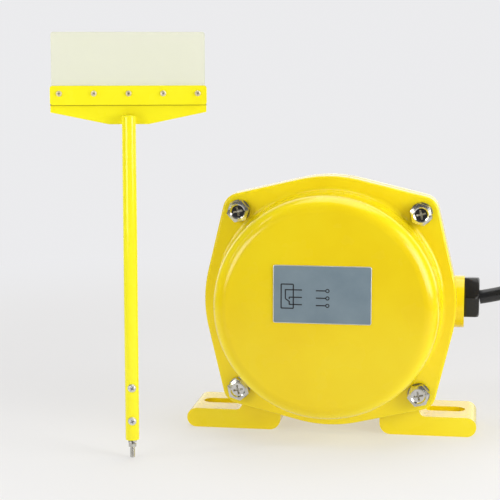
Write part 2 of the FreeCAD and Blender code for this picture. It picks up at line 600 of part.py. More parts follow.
circle(sketch, anchor_x, "pin_out", "pin_size / 2 + fit_gap")
pocket(cam, sketch, "cam_width / 2", ahead=True)
set_screw = new_body("cam_set_screw", "0", "-cam_front - cam_hub / 2", f"axis_height + {journal} + fit_gap")
ring(set_screw, "set_screw_section", "0", "set_screw_size / 2", "0", "set_screw_length")
sketch = new_sketch(set_screw, "set_screw_key", lift="set_screw_length")
outline(sketch, hexagon("set_screw_size / 2"))
pocket(set_screw, sketch, "set_screw_length / 2")
cam_rear = "(cam_width - cam_front)"
pin_seat = f"{hub_front} + hub_inside - pin_floor"
for label, x, z, start, stop, width in (
    ("stop_pin", "0", "stop_radius", "stop_start - cam_front", pin_seat, "stop_pin_size"),
    ("spring_anchor_pin", anchor_x, "-pin_out", "spring_start + spring_pitch * spring_turns - spring_wire",
     pin_seat, "pin_size"),
    ("cam_driver_pin", anchor_x, "pin_out", f"{cam_rear} - cam_width / 2", "spring_start + spring_wire",
     "pin_size"),
):
    pin = new_body(label, x, start, f"axis_height + {z}", "rear")
    ring(pin, label + "_section", "0", f"{width} / 2", "0", f"({stop}) - ({start})")

# Torsion spring round the shaft: eight short arcs to a turn, and a straight leg at each end
facets = 8
corner_radius = value("spring_radius") / math.cos(math.pi / facets)
spring_points = []
for step in range(int(facets * value("spring_turns"))):
    bearing = 2 * math.pi * (step + 0.5) / facets
    level = value("spring_pitch") * (step + 0.5) / facets
    spring_points.append((corner_radius * math.cos(bearing), corner_radius * math.sin(bearing), level))
leg_x, leg_y = value("spring_radius"), value("spring_leg")
spring_points.insert(0, (leg_x, -leg_y, 0.0))
spring_points.append((leg_x, leg_y, value("spring_pitch * spring_turns")))
bent_bar("return_spring", spring_points, value("spring_wire / 2"))
spring_seat = FreeCAD.Vector(0, value("spring_start"), value("axis_height"))
nodes[-1].Placement = FreeCAD.Placement(spring_seat, FreeCAD.Rotation(FreeCAD.Vector(1, 0, 0), -90))

# Micro switch: body on the casing's posts, roller plunger, tabs and screws
roller_reach = "(-cam_throw / 2 + sqrt((cam_radius + roller_radius)^2 - 0.75 * cam_throw^2) + roller_gap)"
roller_z = f"(axis_height - {roller_reach})"
follower_y = "(cam_width / 2 - cam_front)"
switch_floor = "-(switch_top + switch_height)"
body = new_body("switch_body", "0", "-switch_front", "axis_height", "front")
sketch = new_sketch(body, "switch_case")
outline(sketch, box_outline("-switch_width / 2", "switch_width / 2", switch_floor, "-switch_top"))
for sign in ("", "-"):
    circle(sketch, sign + "switch_pitch / 2", post_y, "switch_screw / 2 + bore_gap")
pad(body, sketch, "switch_thickness", back=True)
plunger_depth = f"(switch_front + {follower_y})"
sketch = new_sketch(body, "switch_collar_ring", "XZ_Plane", "switch_top")
circle(sketch, "0", f"-{plunger_depth}", "switch_collar")
pad(body, sketch, "switch_collar_height", back=True)
sketch = new_sketch(body, "switch_plunger_bore", "XZ_Plane", "switch_top - switch_collar_height")
circle(sketch, "0", f"-{plunger_depth}", "stem_size / 2 + bore_gap")
pocket(body, sketch, "switch_collar_height + stem_length - stem_floor", ahead=True)
fork_low = "(fork_drop - roller_radius / 2)"
plunger = new_body("switch_plunger", "0", follower_y, roller_z)
sketch = new_sketch(plunger, "plunger_fork", "YZ_Plane", "-fork_width / 2")
cheek_in, cheek_out = "(roller_width / 2 + fork_play)", "(roller_width / 2 + fork_play + fork_cheek)"
fork_floor = "-(roller_radius + fork_floor_gap)"
outline(sketch, [
    (f"-{cheek_out}", "-fork_drop"), (cheek_out, "-fork_drop"), (cheek_out, "roller_radius / 2"),
    (cheek_in, "roller_radius / 2"), (cheek_in, fork_floor), (f"-{cheek_in}", fork_floor),
    (f"-{cheek_in}", "roller_radius / 2"), (f"-{cheek_out}", "roller_radius / 2"),
])
pad(plunger, sketch, "fork_width")
sketch = new_sketch(plunger, "plunger_stem", lift="-fork_drop")
circle(sketch, "0", "0", "stem_size / 2")
pad(plunger, sketch, "stem_length", back=True)
sketch = new_sketch(plunger, "plunger_axle_hole", "XZ_Plane", f"-{cheek_out}")
circle(sketch, "0", "0", "roller_axle / 2 + fit_gap")
pocket(plunger, sketch, f"2 * {cheek_out}", ahead=True)
roller = new_body("switch_roller", "0", f"{follower_y} - roller_width / 2", roller_z, "rear")
ring(roller, "roller_section", "roller_axle / 2 + shaft_gap", "roller_radius", "0", "roller_width")
axle = new_body("roller_pin", "0", f"{follower_y} - {cheek_out}", roller_z, "rear")
ring(axle, "roller_pin_section", "0", "roller_axle / 2", "0", f"2 * {cheek_out}")
tabs = new_body("switch_terminals", "-tab_pitch", f"{follower_y}", f"axis_height + {switch_floor}")
sketch = new_sketch(tabs, "switch_tab", "XZ_Plane", "tab_thickness / 2")
outline(sketch, box_outline("-tab_width / 2", "tab_width / 2", "-tab_length", "0"))
tab = pad(tabs, sketch, "tab_thickness", back=True)
along_x(tabs, [tab], "2 * tab_pitch", 3)
fixing = new_body("switch_screws", "-switch_pitch / 2", "-switch_front", f"axis_height + {post_y}", "front")
head = turned(fixing, "switch_screw_section", [
    ("0", "-(switch_thickness + switch_screw_grip)"),
    ("switch_screw / 2", "-(switch_thickness + switch_screw_grip)"),
    ("switch_screw / 2", "0"), ("switch_screw * 0.95", "0"), ("switch_screw * 0.95", "1.4"),
    ("switch_screw * 0.6", "2.2"), ("0", "2.2"),
])
along_x(fixing, [head], "switch_pitch", 2)

# Gland: pressure washer, packing ring, hollow screw and the gripped cable
jacket = "cable_size / 2"
gland_floor = "(boss_reach - gland_depth)"
gland_washer = new_body("gland_washer", gland_floor, "0", "axis_height", "right")
ring(gland_washer, "gland_washer_section", f"{jacket} + cable_gap", "gland_bore - gland_play", "0",
     "gland_washer_thickness")
packing = new_body("gland_seal", f"{gland_floor} + gland_washer_thickness", "0", "axis_height", "right")
ring(packing, "gland_seal_section", jacket, "gland_bore - fit_gap", "0", "gland_seal_length")
nut = new_body("gland_nut", "boss_reach", "0", "axis_height", "right")
sketch = new_sketch(nut, "gland_nut_head")
outline(sketch, hexagon("gland_flats", turn="gland_turn"))
pad(nut, sketch, "gland_head")
sketch = new_sketch(nut, "gland_nut_thread")
circle(sketch, "0", "0", "gland_bore - fit_gap")
pad(nut, sketch, "gland_depth - gland_washer_thickness - gland_seal_length", back=True)
sketch = new_sketch(nut, "gland_nut_bore", lift="gland_head")
circle(sketch, "0", "0", f"{jacket} + cable_gap")
pocket(nut, sketch, "gland_head + gland_depth")
edge = new_sketch(nut, "gland_nut_rounding", "XZ_Plane")
corner_r = "(gland_flats / sqrt(3))"
outline(edge, [
    ("2 * gland_flats", "2 * gland_head"), (f"{corner_r} - 3 * gland_edge", "2 * gland_head"),
    (f"{corner_r} - 2.2 * gland_edge", "gland_head"),
    (f"{corner_r} - 0.5 * gland_edge", "gland_head - 0.6 * gland_edge"),
    (f"{corner_r} + 0.1 * gland_edge", "gland_head - 1.7 * gland_edge"),
    ("2 * gland_flats", "gland_head - 1.7 * gland_edge"),
])
feature(nut, "Groove", edge, ReferenceAxis=(edge, ["V_Axis"]), Angle=360)
held = new_body("cable_inside", "cable_inner_end", "0", "axis_height", "right")
exit_x = "(boss_reach + gland_head)"
ring(held, "cable_inside_section", "0", jacket, "0", f"{exit_x} - cable_inner_end")

# Three insulated cores from the cable's inner end to the tabs
axis_z = value("axis_height")
tab_face = value(f"{follower_y} - tab_thickness / 2")
tab_z = value(f"axis_height + {switch_floor} - tab_length / 2")
low_z = tab_z
routes = [("core_red", 210, -1, 1), ("core_blue", 90, 0, -1), ("core_green", 330, 1, 0)]
for label, angle, side, place in routes:
    out_y = value("core_ring") * math.cos(math.radians(angle))
    out_z = axis_z + value("core_ring") * math.sin(math.radians(angle))
    shift = place * value("core_spread")
    layer = side * value("core_layer_step") - value("core_layer")
    tab_x = side * value("tab_pitch")
    bent_bar(label, [
        (value("cable_inner_end"), out_y, out_z), (value("cable_inner_end - core_run") + shift, out_y, out_z),
        (value("core_drop_x") + shift, layer, axis_z - value("core_drop")),
        (value("core_low_x") + shift, layer, low_z), (tab_x, layer, low_z), (tab_x, tab_face, low_z),
    ], value("core_size / 2"))

# Free cable: out of the gland, up a little, over and down to the coil's top turn
coil_x = value("coil_x")
coil_top = value("cable_size / 2 + coil_lift + coil_turns * coil_pitch")
cable_route = [
    (value(exit_x), 0.0, axis_z), (98.0, 0.0, axis_z), (107.0, 0.0, 85.2), (125.0, 0.0, 92.3),
    (148.0, 0.0, 92.2), (171.1, 0.0, 78.3), (189.6, 0.0, 48.6), (210.1, 0.0, 34.3), (coil_x, 0.0, coil_top),
]
free_length = bent_bar("cable", cable_route, value(jacket))
coil = new_body("cable_coil", "coil_x", "coil_radius", "coil_lift")
ring(coil, "cable_coil_section", f"coil_radius - {jacket} - coil_play", f"coil_radius + {jacket} + coil_play",
     "0", "cable_size + coil_turns * coil_pitch")
tail = new_body("cable_tail", "coil_x - coil_radius", "coil_radius", f"coil_lift + {jacket}", "front")
ring(tail, "cable_tail_section", "0", jacket, "0", "tail_length")
coil_length = value("coil_turns") * math.hypot(2 * math.pi * value("coil_radius"), value("coil_pitch"))
print(f"cable in all: {free_length + coil_length + value('tail_length'):.1f}")
tie = doc.addObject("Part::Box", "tie_block")
hole = doc.addObject("Part::Box", "tie_hole")
bundle = "cable_size + coil_turns * coil_pitch"
for box, spread, low in ((tie, "tie_thickness", "0"), (hole, "0", "coil_lift")):
    box.setExpression("Length", cells(f"cable_size + 2 * tie_play + 2 * {spread}"))
    width = "tie_width" if box is tie else "2 * tie_width"
    box.setExpression("Width", cells(width))
    box.setExpression("Height", cells(f"{bundle} + coil_lift + tie_thickness" if box is tie else bundle))
    box.setExpression("Placement.Base.x", cells(f"coil_x + coil_radius - {jacket} - tie_play - {spread}"))
    box.setExpression("Placement.Base.y", cells(f"coil_radius - ({width}) / 2"))
    box.setExpression("Placement.Base.z", cells(low))
coil_tie = doc.addObject("Part::Cut", "coil_tie")
coil_tie.Base = tie
coil_tie.Tool = hole
coil_tie.Label = "coil_tie"
nodes.append(coil_tie)
end_y = "coil_radius - tail_length"
for label, size, start, length in (
    ("end_cores", "core_size", "0", "end_core_length"),
    ("end_tips", "end_tip_size", "end_core_length", "end_tip_length"),
):
    cores = new_body(label, "coil_x - coil_radius", end_y, f"coil_lift + {jacket}", "front")
    sketch = new_sketch(cores, label + "_section", lift=start)
    for angle in (90, 210, 330):
        circle(sketch, f"core_ring * cos({angle})", f"core_ring * sin({angle})", f"{size} / 2")
    pad(cores, sketch, length)

# Paddle arm, standing on its stud and turned to face the viewer
yaw = value("arm_yaw")


def arm_body(label, z="0"):
    return new_body(label, "arm_x", "arm_y", z, yaw=yaw)


tube_r = "tube_size / 2"
bore_r = "(tube_size / 2 - tube_wall)"
tube = arm_body("arm_tube")
turned(tube, "arm_tube_section", [
    (bore_r, "tube_foot"), (tube_r, "tube_foot"), (tube_r, "tube_top - tube_wall", "tube_wall"),
    (f"{tube_r} - tube_wall", "tube_top"), ("0", "tube_top"), ("0", "tube_top - tube_wall"),
    (bore_r, "tube_top - tube_wall"),
])
sketch = new_sketch(tube, "arm_tube_holes", "XZ_Plane", tube_r)
for level in ("arm_screw_low", "arm_screw_high"):
    circle(sketch, "0", level, "arm_screw_size / 2 + bore_gap")
pocket(tube, sketch, tube_r)
nut_seat = "tube_foot - arm_washer_thickness - arm_nut_height"
stud_shoulder = f"({nut_seat} - seat_gap)"
plug = arm_body("arm_stud_bar")
turned(plug, "arm_stud_section", [
    ("0", "0"), ("stud_size / 2 - stud_chamfer", "0"), ("stud_size / 2", "stud_chamfer"),
    ("stud_size / 2", stud_shoulder), ("stud_root / 2", stud_shoulder), ("stud_root / 2", "tube_foot"),
    (f"{bore_r} - plug_gap", "tube_foot"), (f"{bore_r} - plug_gap", "tube_foot + plug_length"),
    ("0", "tube_foot + plug_length"),
])
sketch = new_sketch(plug, "arm_stud_holes", "XZ_Plane", tube_r)
for level in ("arm_screw_low", "arm_screw_high"):
    circle(sketch, "0", level, "arm_screw_size / 2 + bore_gap")
pocket(plug, sketch, "arm_screw_length")
lock_nut = arm_body("arm_lock_nut", nut_seat)
sketch = new_sketch(lock_nut, "arm_nut_section")
outline(sketch, hexagon("arm_nut_flats"))
circle(sketch, "0", "0", "stud_root / 2 + thread_gap")
pad(lock_nut, sketch, "arm_nut_height")
arm_washer = arm_body("arm_washer", "tube_foot - arm_washer_thickness")
ring(arm_washer, "arm_washer_section", "stud_size / 2 + thread_gap", "arm_washer_radius", "0",
     "arm_washer_thickness")
sketch = new_sketch(arm_washer, "arm_washer_slit", lift="arm_washer_thickness")
outline(sketch, box_outline("-arm_washer_split / 2", "arm_washer_split / 2", "-2 * arm_washer_radius", "0"))
pocket(arm_washer, sketch, "arm_washer_thickness")
cross = arm_body("arm_cross_screws")
sketch = new_sketch(cross, "arm_screw_heads", "XZ_Plane", f"{tube_r} - arm_screw_sink")
for level in ("arm_screw_low", "arm_screw_high"):
    circle(sketch, "0", level, "arm_screw_head / 2")
pad(cross, sketch, "arm_screw_rise + arm_screw_sink")
sketch = new_sketch(cross, "arm_screw_shanks", "XZ_Plane", f"{tube_r} - arm_screw_sink")
for level in ("arm_screw_low", "arm_screw_high"):
    circle(sketch, "0", level, "arm_screw_size / 2")
pad(cross, sketch, "arm_screw_length - arm_screw_sink - seat_gap", back=True)
sketch = new_sketch(tube, "arm_screw_seats", "XZ_Plane", tube_r)
for level in ("arm_screw_low", "arm_screw_high"):
    circle(sketch, "0", level, "arm_screw_head / 2 + arm_seat_gap")
pocket(tube, sketch, "arm_screw_sink")


# A flat piece of the arm's head, its front face the given depth behind the tube's axis
def head_sheet(label, corners, front, thickness):
    made = arm_body(label)
    sketch = new_sketch(made, label + "_outline", "XZ_Plane", f"-({front})")
    outline(sketch, corners)
    for place in range(-2, 3):
        circle(sketch, f"{place} * clamp_pitch", "clamp_height", "clamp_size / 2 + bore_gap")
    pad(made, sketch, thickness, back=True)
    return made


def level_box(width, low, high):
    middle, half_high = f"(({low}) + ({high})) / 2", f"(({high}) - ({low})) / 2"
    return rounded("0", middle, f"{width} / 2", half_high, "sheet_corner")


plate_front = tube_r
paddle_front = f"{tube_r} - paddle_thickness"
strip_front = f"{tube_r} - paddle_thickness - strip_thickness"
side, foot_side = "head_width / 2", "head_foot / 2"
head_sheet("head_plate", [
    (f"-{foot_side}", "head_low"), (foot_side, "head_low"), (side, "head_shoulder"),
    (side, "head_top - sheet_corner", "sheet_corner"), (f"{side} - sheet_corner", "head_top"),
    (f"-{side} + sheet_corner", "head_top", "sheet_corner"), (f"-{side}", "head_top - sheet_corner"),
    (f"-{side}", "head_shoulder"),
], plate_front, "head_plate")
strip_box = level_box("head_width", "head_top - strip_height", "head_top")
head_sheet("clamp_strip", strip_box, strip_front, "strip_thickness")
paddle_box = level_box("paddle_width", "head_top - paddle_lap", "arm_height")
head_sheet("paddle", paddle_box, paddle_front, "paddle_thickness")
weld = arm_body("arm_weld")
sketch = new_sketch(weld, "arm_weld_bead", lift="head_low")
sink = "(tube_size / 8)"
wide = f"sqrt(({tube_r})^2 - {sink}^2)"
outline(sketch, [
    (wide, sink, tube_r), (f"-{wide}", sink), (f"-{wide}", tube_r), (wide, tube_r),
])
pad(weld, sketch, "tube_top - tube_wall - head_low")
clamp_row = "4 * clamp_pitch"
bolts = arm_body("clamp_screws", "clamp_height")
sketch = new_sketch(bolts, "clamp_screw_head", "XZ_Plane", f"-({strip_front})")
circle(sketch, "-2 * clamp_pitch", "0", "clamp_head / 2")
bolt_head = pad(bolts, sketch, "clamp_head_rise")
sketch = new_sketch(bolts, "clamp_screw_shank", "XZ_Plane", f"-({strip_front})")
circle(sketch, "-2 * clamp_pitch", "0", "clamp_size / 2")
bolt_shank = pad(
    bolts, sketch, "strip_thickness + paddle_thickness + head_plate + clamp_nut_height + clamp_tail", back=True
)
along_x(bolts, [bolt_head, bolt_shank], clamp_row, 5)
nuts = arm_body("clamp_nuts", "clamp_height")
sketch = new_sketch(nuts, "clamp_nut_section", "XZ_Plane", f"-({tube_r} + head_plate)")
outline(sketch, hexagon("clamp_nut_flats", "-2 * clamp_pitch"))
circle(sketch, "-2 * clamp_pitch", "0", "clamp_size / 2 + fit_gap")
nut_pad = pad(nuts, sketch, "clamp_nut_height", back=True)
along_x(nuts, [nut_pad], clamp_row, 5)

doc.recompute()
for item in doc.Objects:
    if {"Invalid", "Error"} & set(item.State):
        raise RuntimeError(f"{item.Name}: {item.State}")
os.makedirs("parts", exist_ok=True)
for item in nodes:
    if item.Shape.isNull() or not item.Shape.isValid():
        raise RuntimeError(f"{item.Label} has no valid shape")
    item.Shape.exportStep(f"parts/{item.Label}.step")
    box = item.Shape.BoundBox
    print(f"{item.Label}: {len(item.Shape.Solids)} solids, volume {item.Shape.Volume:.0f}")
    print(f"    x {box.XMin:.1f} {box.XMax:.1f}, y {box.YMin:.1f} {box.YMax:.1f}")
    print(f"    z {box.ZMin:.1f} {box.ZMax:.1f}")
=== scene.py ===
from math import cos, pi, radians, sin, sqrt

import bmesh
import bpy
from mathutils import Matrix, Vector


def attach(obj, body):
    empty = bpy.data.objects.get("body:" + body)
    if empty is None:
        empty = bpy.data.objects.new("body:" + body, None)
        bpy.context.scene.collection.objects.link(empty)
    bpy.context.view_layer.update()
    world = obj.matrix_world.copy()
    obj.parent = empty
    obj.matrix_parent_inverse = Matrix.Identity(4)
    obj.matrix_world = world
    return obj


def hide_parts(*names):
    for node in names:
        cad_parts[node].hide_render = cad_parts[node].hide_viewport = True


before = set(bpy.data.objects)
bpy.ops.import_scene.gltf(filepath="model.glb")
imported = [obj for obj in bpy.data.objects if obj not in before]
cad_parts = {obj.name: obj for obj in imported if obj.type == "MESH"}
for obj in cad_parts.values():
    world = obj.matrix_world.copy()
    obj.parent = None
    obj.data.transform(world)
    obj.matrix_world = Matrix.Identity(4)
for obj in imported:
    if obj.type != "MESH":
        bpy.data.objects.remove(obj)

for spare in ("Cube", "Light", "Camera"):
    if spare in bpy.data.objects:
        bpy.data.objects.remove(bpy.data.objects[spare])
bpy.context.view_layer.update()
scene = bpy.context.scene
scene.view_settings.view_transform = "Standard"
mm = 0.001  # pieces are drawn in millimetres and brought to metres at the end
print("frame loaded:", len(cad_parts), "nodes")


# camera
view = {
    "at": (0.08708, -0.91146, 0.23975), "tilt": 8.02, "turn": 8.76, "lens": 106.3, "sensor": 36.0, "clip": 0.02,
}
cameraData = bpy.data.cameras.new("photoCamera")
cameraData.lens = view["lens"]
cameraData.sensor_width = view["sensor"]
cameraData.sensor_height = view["sensor"]
cameraData.clip_start = view["clip"]
camera = bpy.data.objects.new("photoCamera", cameraData)
camera.location = view["at"]
camera.rotation_euler = (radians(90 - view["tilt"]), 0, radians(view["turn"]))
scene.collection.objects.link(camera)
scene.camera = camera


# nodes shared by the light, the finishes and the floor
def viewedDirectly(tree):
    # first 1 for what the camera sees, through a clear sheet too, then 1 for what a bright surface mirrors
    path = tree.nodes.new("ShaderNodeLightPath")
    seen = tree.nodes.new("ShaderNodeMath")
    seen.operation = "MAXIMUM"
    tree.links.new(path.outputs["Is Camera Ray"], seen.inputs[0])
    tree.links.new(path.outputs["Is Transmission Ray"], seen.inputs[1])
    return seen.outputs[0], path.outputs["Is Glossy Ray"]


def blend(tree, share, first, second):
    mix = tree.nodes.new("ShaderNodeMixShader")
    if isinstance(share, float):
        mix.inputs[0].default_value = share
    else:
        tree.links.new(share, mix.inputs[0])
    tree.links.new(first, mix.inputs[1])
    tree.links.new(second, mix.inputs[2])
    return mix.outputs[0]


def mapped(tree, value, start, end, low, high, curve="LINEAR"):
    # carries a value from one range to another
    made = tree.nodes.new("ShaderNodeMapRange")
    made.interpolation_type = curve
    for socket, number in (("From Min", start), ("From Max", end), ("To Min", low), ("To Max", high)):
        made.inputs[socket].default_value = number
    tree.links.new(value, made.inputs["Value"])
    return made.outputs["Result"]


def zone(tree, where, axis, start, end):
    # rises from 0 to 1 between two places along an axis
    parts = tree.nodes.new("ShaderNodeSeparateXYZ")
    tree.links.new(where, parts.inputs[0])
    return mapped(tree, parts.outputs[axis], start, end, 0.0, 1.0, "SMOOTHSTEP")


def times(tree, value, number):
    made = tree.nodes.new("ShaderNodeMath")
    made.operation = "MULTIPLY"
    made.inputs[1].default_value = number
    tree.links.new(value, made.inputs[0])
    return made.outputs[0]


# light
studio = {
    "paper": (0.835, 0.835, 0.85), "sky": 0.31, "room": 0.12, "backdrop": 1.25, "behind": (0.35, 0.8),
    "lamps": [  # name, place, aim, width and height, watts, colour
        ("keyPanel", (1.60, -0.50, 0.75), (0.0, 0.0, 0.08), (0.80, 1.5), 9.8, (1.0, 0.99, 0.97)),
        ("nearPanel", (0.42, -0.30, 0.22), (0.0, -0.02, 0.08), (0.25, 0.25), 0.95, (1.0, 1.0, 0.97)),
        ("leftPanel", (-1.15, -0.65, 0.80), (0.0, 0.0, 0.10), (0.20, 0.9), 3.3, (0.97, 0.98, 1.0)),
        ("topPanel", (0.1, 0.25, 1.7), (0.0, 0.0, 0.05), (1.4, 1.4), 14.0, (1.0, 1.0, 1.0)),
        ("armPanel", (-0.31, -0.44, 0.17), (-0.108, -0.095, 0.17), (0.18, 0.18), 0.53, (1.0, 1.0, 0.98)),
    ],
}
world = bpy.data.worlds.new("studioWorld")
world.use_nodes = True
scene.world = world
skyTree = world.node_tree
skyTree.nodes.clear()


def skyShade(strength, colour=(1, 1, 1)):
    made = skyTree.nodes.new("ShaderNodeBackground")
    made.inputs["Color"].default_value = (*colour, 1.0)
    made.inputs["Strength"].default_value = strength
    return made.outputs[0]


# a bright part mirrors a dark room in front and the lit backdrop behind
seen, mirrored = viewedDirectly(skyTree)
heading = skyTree.nodes.new("ShaderNodeTexCoord").outputs["Generated"]
behind = zone(skyTree, heading, "Y", *studio["behind"])
around = blend(skyTree, behind, skyShade(studio["room"]), skyShade(studio["backdrop"]))
sky = blend(skyTree, mirrored, skyShade(studio["sky"]), around)
sky = blend(skyTree, seen, sky, skyShade(1.0, studio["paper"]))
skyTree.links.new(sky, skyTree.nodes.new("ShaderNodeOutputWorld").inputs[0])

for lampName, place, aim, (wide, tall), watts, tint in studio["lamps"]:
    lampData = bpy.data.lights.new(lampName, "AREA")
    lampData.shape = "RECTANGLE"
    lampData.size = wide
    lampData.size_y = tall
    lampData.energy = watts
    lampData.color = tint
    lamp = bpy.data.objects.new(lampName, lampData)
    lamp.location = place
    lamp.rotation_euler = (Vector(aim) - Vector(place)).to_track_quat("-Z", "Y").to_euler()
    scene.collection.objects.link(lamp)
print("camera and light set")


# finishes
cloudSpan = (0.3, 0.7)  # most of a noise lies between these


def startMaterial(name):
    material = bpy.data.materials.new(name)
    material.use_nodes = True
    tree = material.node_tree
    shader = tree.nodes["Principled BSDF"]
    where = tree.nodes.new("ShaderNodeTexCoord").outputs["Object"]
    return material, tree, shader, where


def noise(tree, where, scale, detail=3.0, rough=0.5, stretch=None):
    if stretch:
        mapping = tree.nodes.new("ShaderNodeMapping")
        mapping.inputs["Scale"].default_value = stretch
        tree.links.new(where, mapping.inputs["Vector"])
        where = mapping.outputs["Vector"]
    made = tree.nodes.new("ShaderNodeTexNoise")
    made.inputs["Scale"].default_value = scale
    made.inputs["Detail"].default_value = detail
    made.inputs["Roughness"].default_value = rough
    tree.links.new(where, made.inputs["Vector"])
    return made.outputs["Fac"]


def ramp(tree, value, stops):
    made = tree.nodes.new("ShaderNodeValToRGB")
    while len(made.color_ramp.elements) < len(stops):
        made.color_ramp.elements.new(0.5)
    for element, (place, colour) in zip(made.color_ramp.elements, stops):
        element.position = place
        element.color = (*colour, 1.0)
    tree.links.new(value, made.inputs["Fac"])
    return made.outputs["Color"]


def clouded(tree, cloud, *colours):
    return ramp(tree, cloud, list(zip(cloudSpan, colours)))


def spread(tree, value, low, high):
    return mapped(tree, value, *cloudSpan, low, high)


def bump(tree, shader, layers):
    below = None
    for height, strength, depth in layers:
        made = tree.nodes.new("ShaderNodeBump")
        made.inputs["Strength"].default_value = strength
        made.inputs["Distance"].default_value = depth
        tree.links.new(height, made.inputs["Height"])
        if below:
            tree.links.new(below, made.inputs["Normal"])
        below = made.outputs["Normal"]
    tree.links.new(below, shader.inputs["Normal"])


def darkened(tree, colour, share, tint):
    made = tree.nodes.new("ShaderNodeMix")
    made.data_type = "RGBA"
    made.blend_type = "MULTIPLY"
    sockets = [s for s in made.inputs if s.type == "RGBA"]
    sockets[1].default_value = (*tint, 1.0)
    tree.links.new(share, made.inputs["Factor"])
    tree.links.new(colour, sockets[0])
    return [s for s in made.outputs if s.type == "RGBA"][0]


# a noise is given by its scale, detail and roughness
lacquer = {
    "cloud": (16.0, 4.0, 0.55), "stops": (0.28, 0.5, 0.74), "wear": (55.0, 3.0), "rough": (0.22, 0.30),
    "coat": 0.75, "coatRough": 0.15, "specular": 0.10,
    "skin": (95.0, 2.0), "skinDepth": 0.0008,  # cast skin under the paint
    "peel": (720.0, 1.5), "peelStrength": 0.07, "peelDepth": 0.00025,  # orange peel
}


def yellowPaint(name, colours, shades=(), skin=0.10):
    material, tree, shader, where = startMaterial(name)
    cloud = noise(tree, where, *lacquer["cloud"])
    colour = ramp(tree, cloud, list(zip(lacquer["stops"], colours)))
    for axis, start, end, tint in shades:
        colour = darkened(tree, colour, zone(tree, where, axis, start, end), tint)
    tree.links.new(colour, shader.inputs["Base Color"])
    wear = noise(tree, where, *lacquer["wear"])
    tree.links.new(spread(tree, wear, *lacquer["rough"]), shader.inputs["Roughness"])
    shader.inputs["Coat Weight"].default_value = lacquer["coat"]
    shader.inputs["Coat Roughness"].default_value = lacquer["coatRough"]
    shader.inputs["Specular IOR Level"].default_value = lacquer["specular"]
    bump(tree, shader, [
        (noise(tree, where, *lacquer["skin"]), skin, lacquer["skinDepth"]),
        (noise(tree, where, *lacquer["peel"]), lacquer["peelStrength"], lacquer["peelDepth"]),
    ])
    return material


plating = {"cloud": (160.0, 4.0, 0.6), "streak": (900.0, 2.0, 0.5), "strength": 0.08, "depth": 0.0001}


def platedMetal(name, dark, light, roughLow, roughHigh, stretch=None):
    material, tree, shader, where = startMaterial(name)
    cloud = noise(tree, where, *plating["cloud"])
    tree.links.new(clouded(tree, cloud, dark, light), shader.inputs["Base Color"])
    shader.inputs["Metallic"].default_value = 1.0
    streak = noise(tree, where, *plating["streak"], stretch)
    tree.links.new(spread(tree, streak, roughLow, roughHigh), shader.inputs["Roughness"])
    bump(tree, shader, [(streak, plating["strength"], plating["depth"])])
    return material


moulding = {"cloud": (60.0, 4.0, 0.6), "grainDetail": 2.0, "strength": 0.12}


def moulded(name, dark, light, roughLow, roughHigh, grain=700.0, depth=0.0002):
    material, tree, shader, where = startMaterial(name)
    cloud = noise(tree, where, *moulding["cloud"])
    tree.links.new(clouded(tree, cloud, dark, light), shader.inputs["Base Color"])
    tree.links.new(spread(tree, cloud, roughLow, roughHigh), shader.inputs["Roughness"])
    fine = noise(tree, where, grain, moulding["grainDetail"])
    bump(tree, shader, [(fine, moulding["strength"], depth)])
    return material


sheet = {
    "pale": (0.98, 0.99, 0.79), "milk": (0.995, 1.0, 0.83), "cloud": (22.0, 4.0, 0.6),
    "wear": (130.0, 3.0), "rough": (0.10, 0.15), "clear": 0.85, "specular": 0.30, "ior": 1.40,
    "wave": (40.0, 2.0), "waveStrength": 0.02, "waveDepth": 0.0003,
}


def clearSheet(name):
    material, tree, shader, where = startMaterial(name)
    cloud = noise(tree, where, *sheet["cloud"])
    tree.links.new(clouded(tree, cloud, sheet["pale"], sheet["milk"]), shader.inputs["Base Color"])
    wear = noise(tree, where, *sheet["wear"])
    tree.links.new(spread(tree, wear, *sheet["rough"]), shader.inputs["Roughness"])
    shader.inputs["Transmission Weight"].default_value = sheet["clear"]
    shader.inputs["Specular IOR Level"].default_value = sheet["specular"]
    shader.inputs["IOR"].default_value = sheet["ior"]
    bump(tree, shader, [(noise(tree, where, *sheet["wave"]), sheet["waveStrength"], sheet["waveDepth"])])
    return material


# paints: deep, body and thin colour; a painted shade has its axis, where it starts and is full, and its tint
castColours = [(0.91, 0.69, 0.003), (0.95, 0.75, 0.006), (0.96, 0.79, 0.012)]
armColours = [(0.94, 0.82, 0.008), (0.96, 0.87, 0.012), (0.97, 0.90, 0.022)]
armSkin = 0.015  # the arm is tube and sheet, smoother than a casting
domeShade = ("Y", -0.0595, -0.0624, (0.89, 0.84, 0.75))  # painted shade: the flat of the dome is darker than the flange round it
seam = min(v.co.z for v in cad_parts["clamp_strip"].data.vertices)
seamShade = ("Z", seam - 0.0008, seam - 0.0003, (0.42, 0.36, 0.3))  # painted shadow on the head plate just under the strip's lower edge, where the head plate runs in under the strip
paint = yellowPaint("castingPaint", castColours)
coverPaint = yellowPaint("coverPaint", castColours, [domeShade])
armPaint = yellowPaint("armPaint", armColours, skin=armSkin)
headPaint = yellowPaint("headPaint", armColours, [seamShade], armSkin)

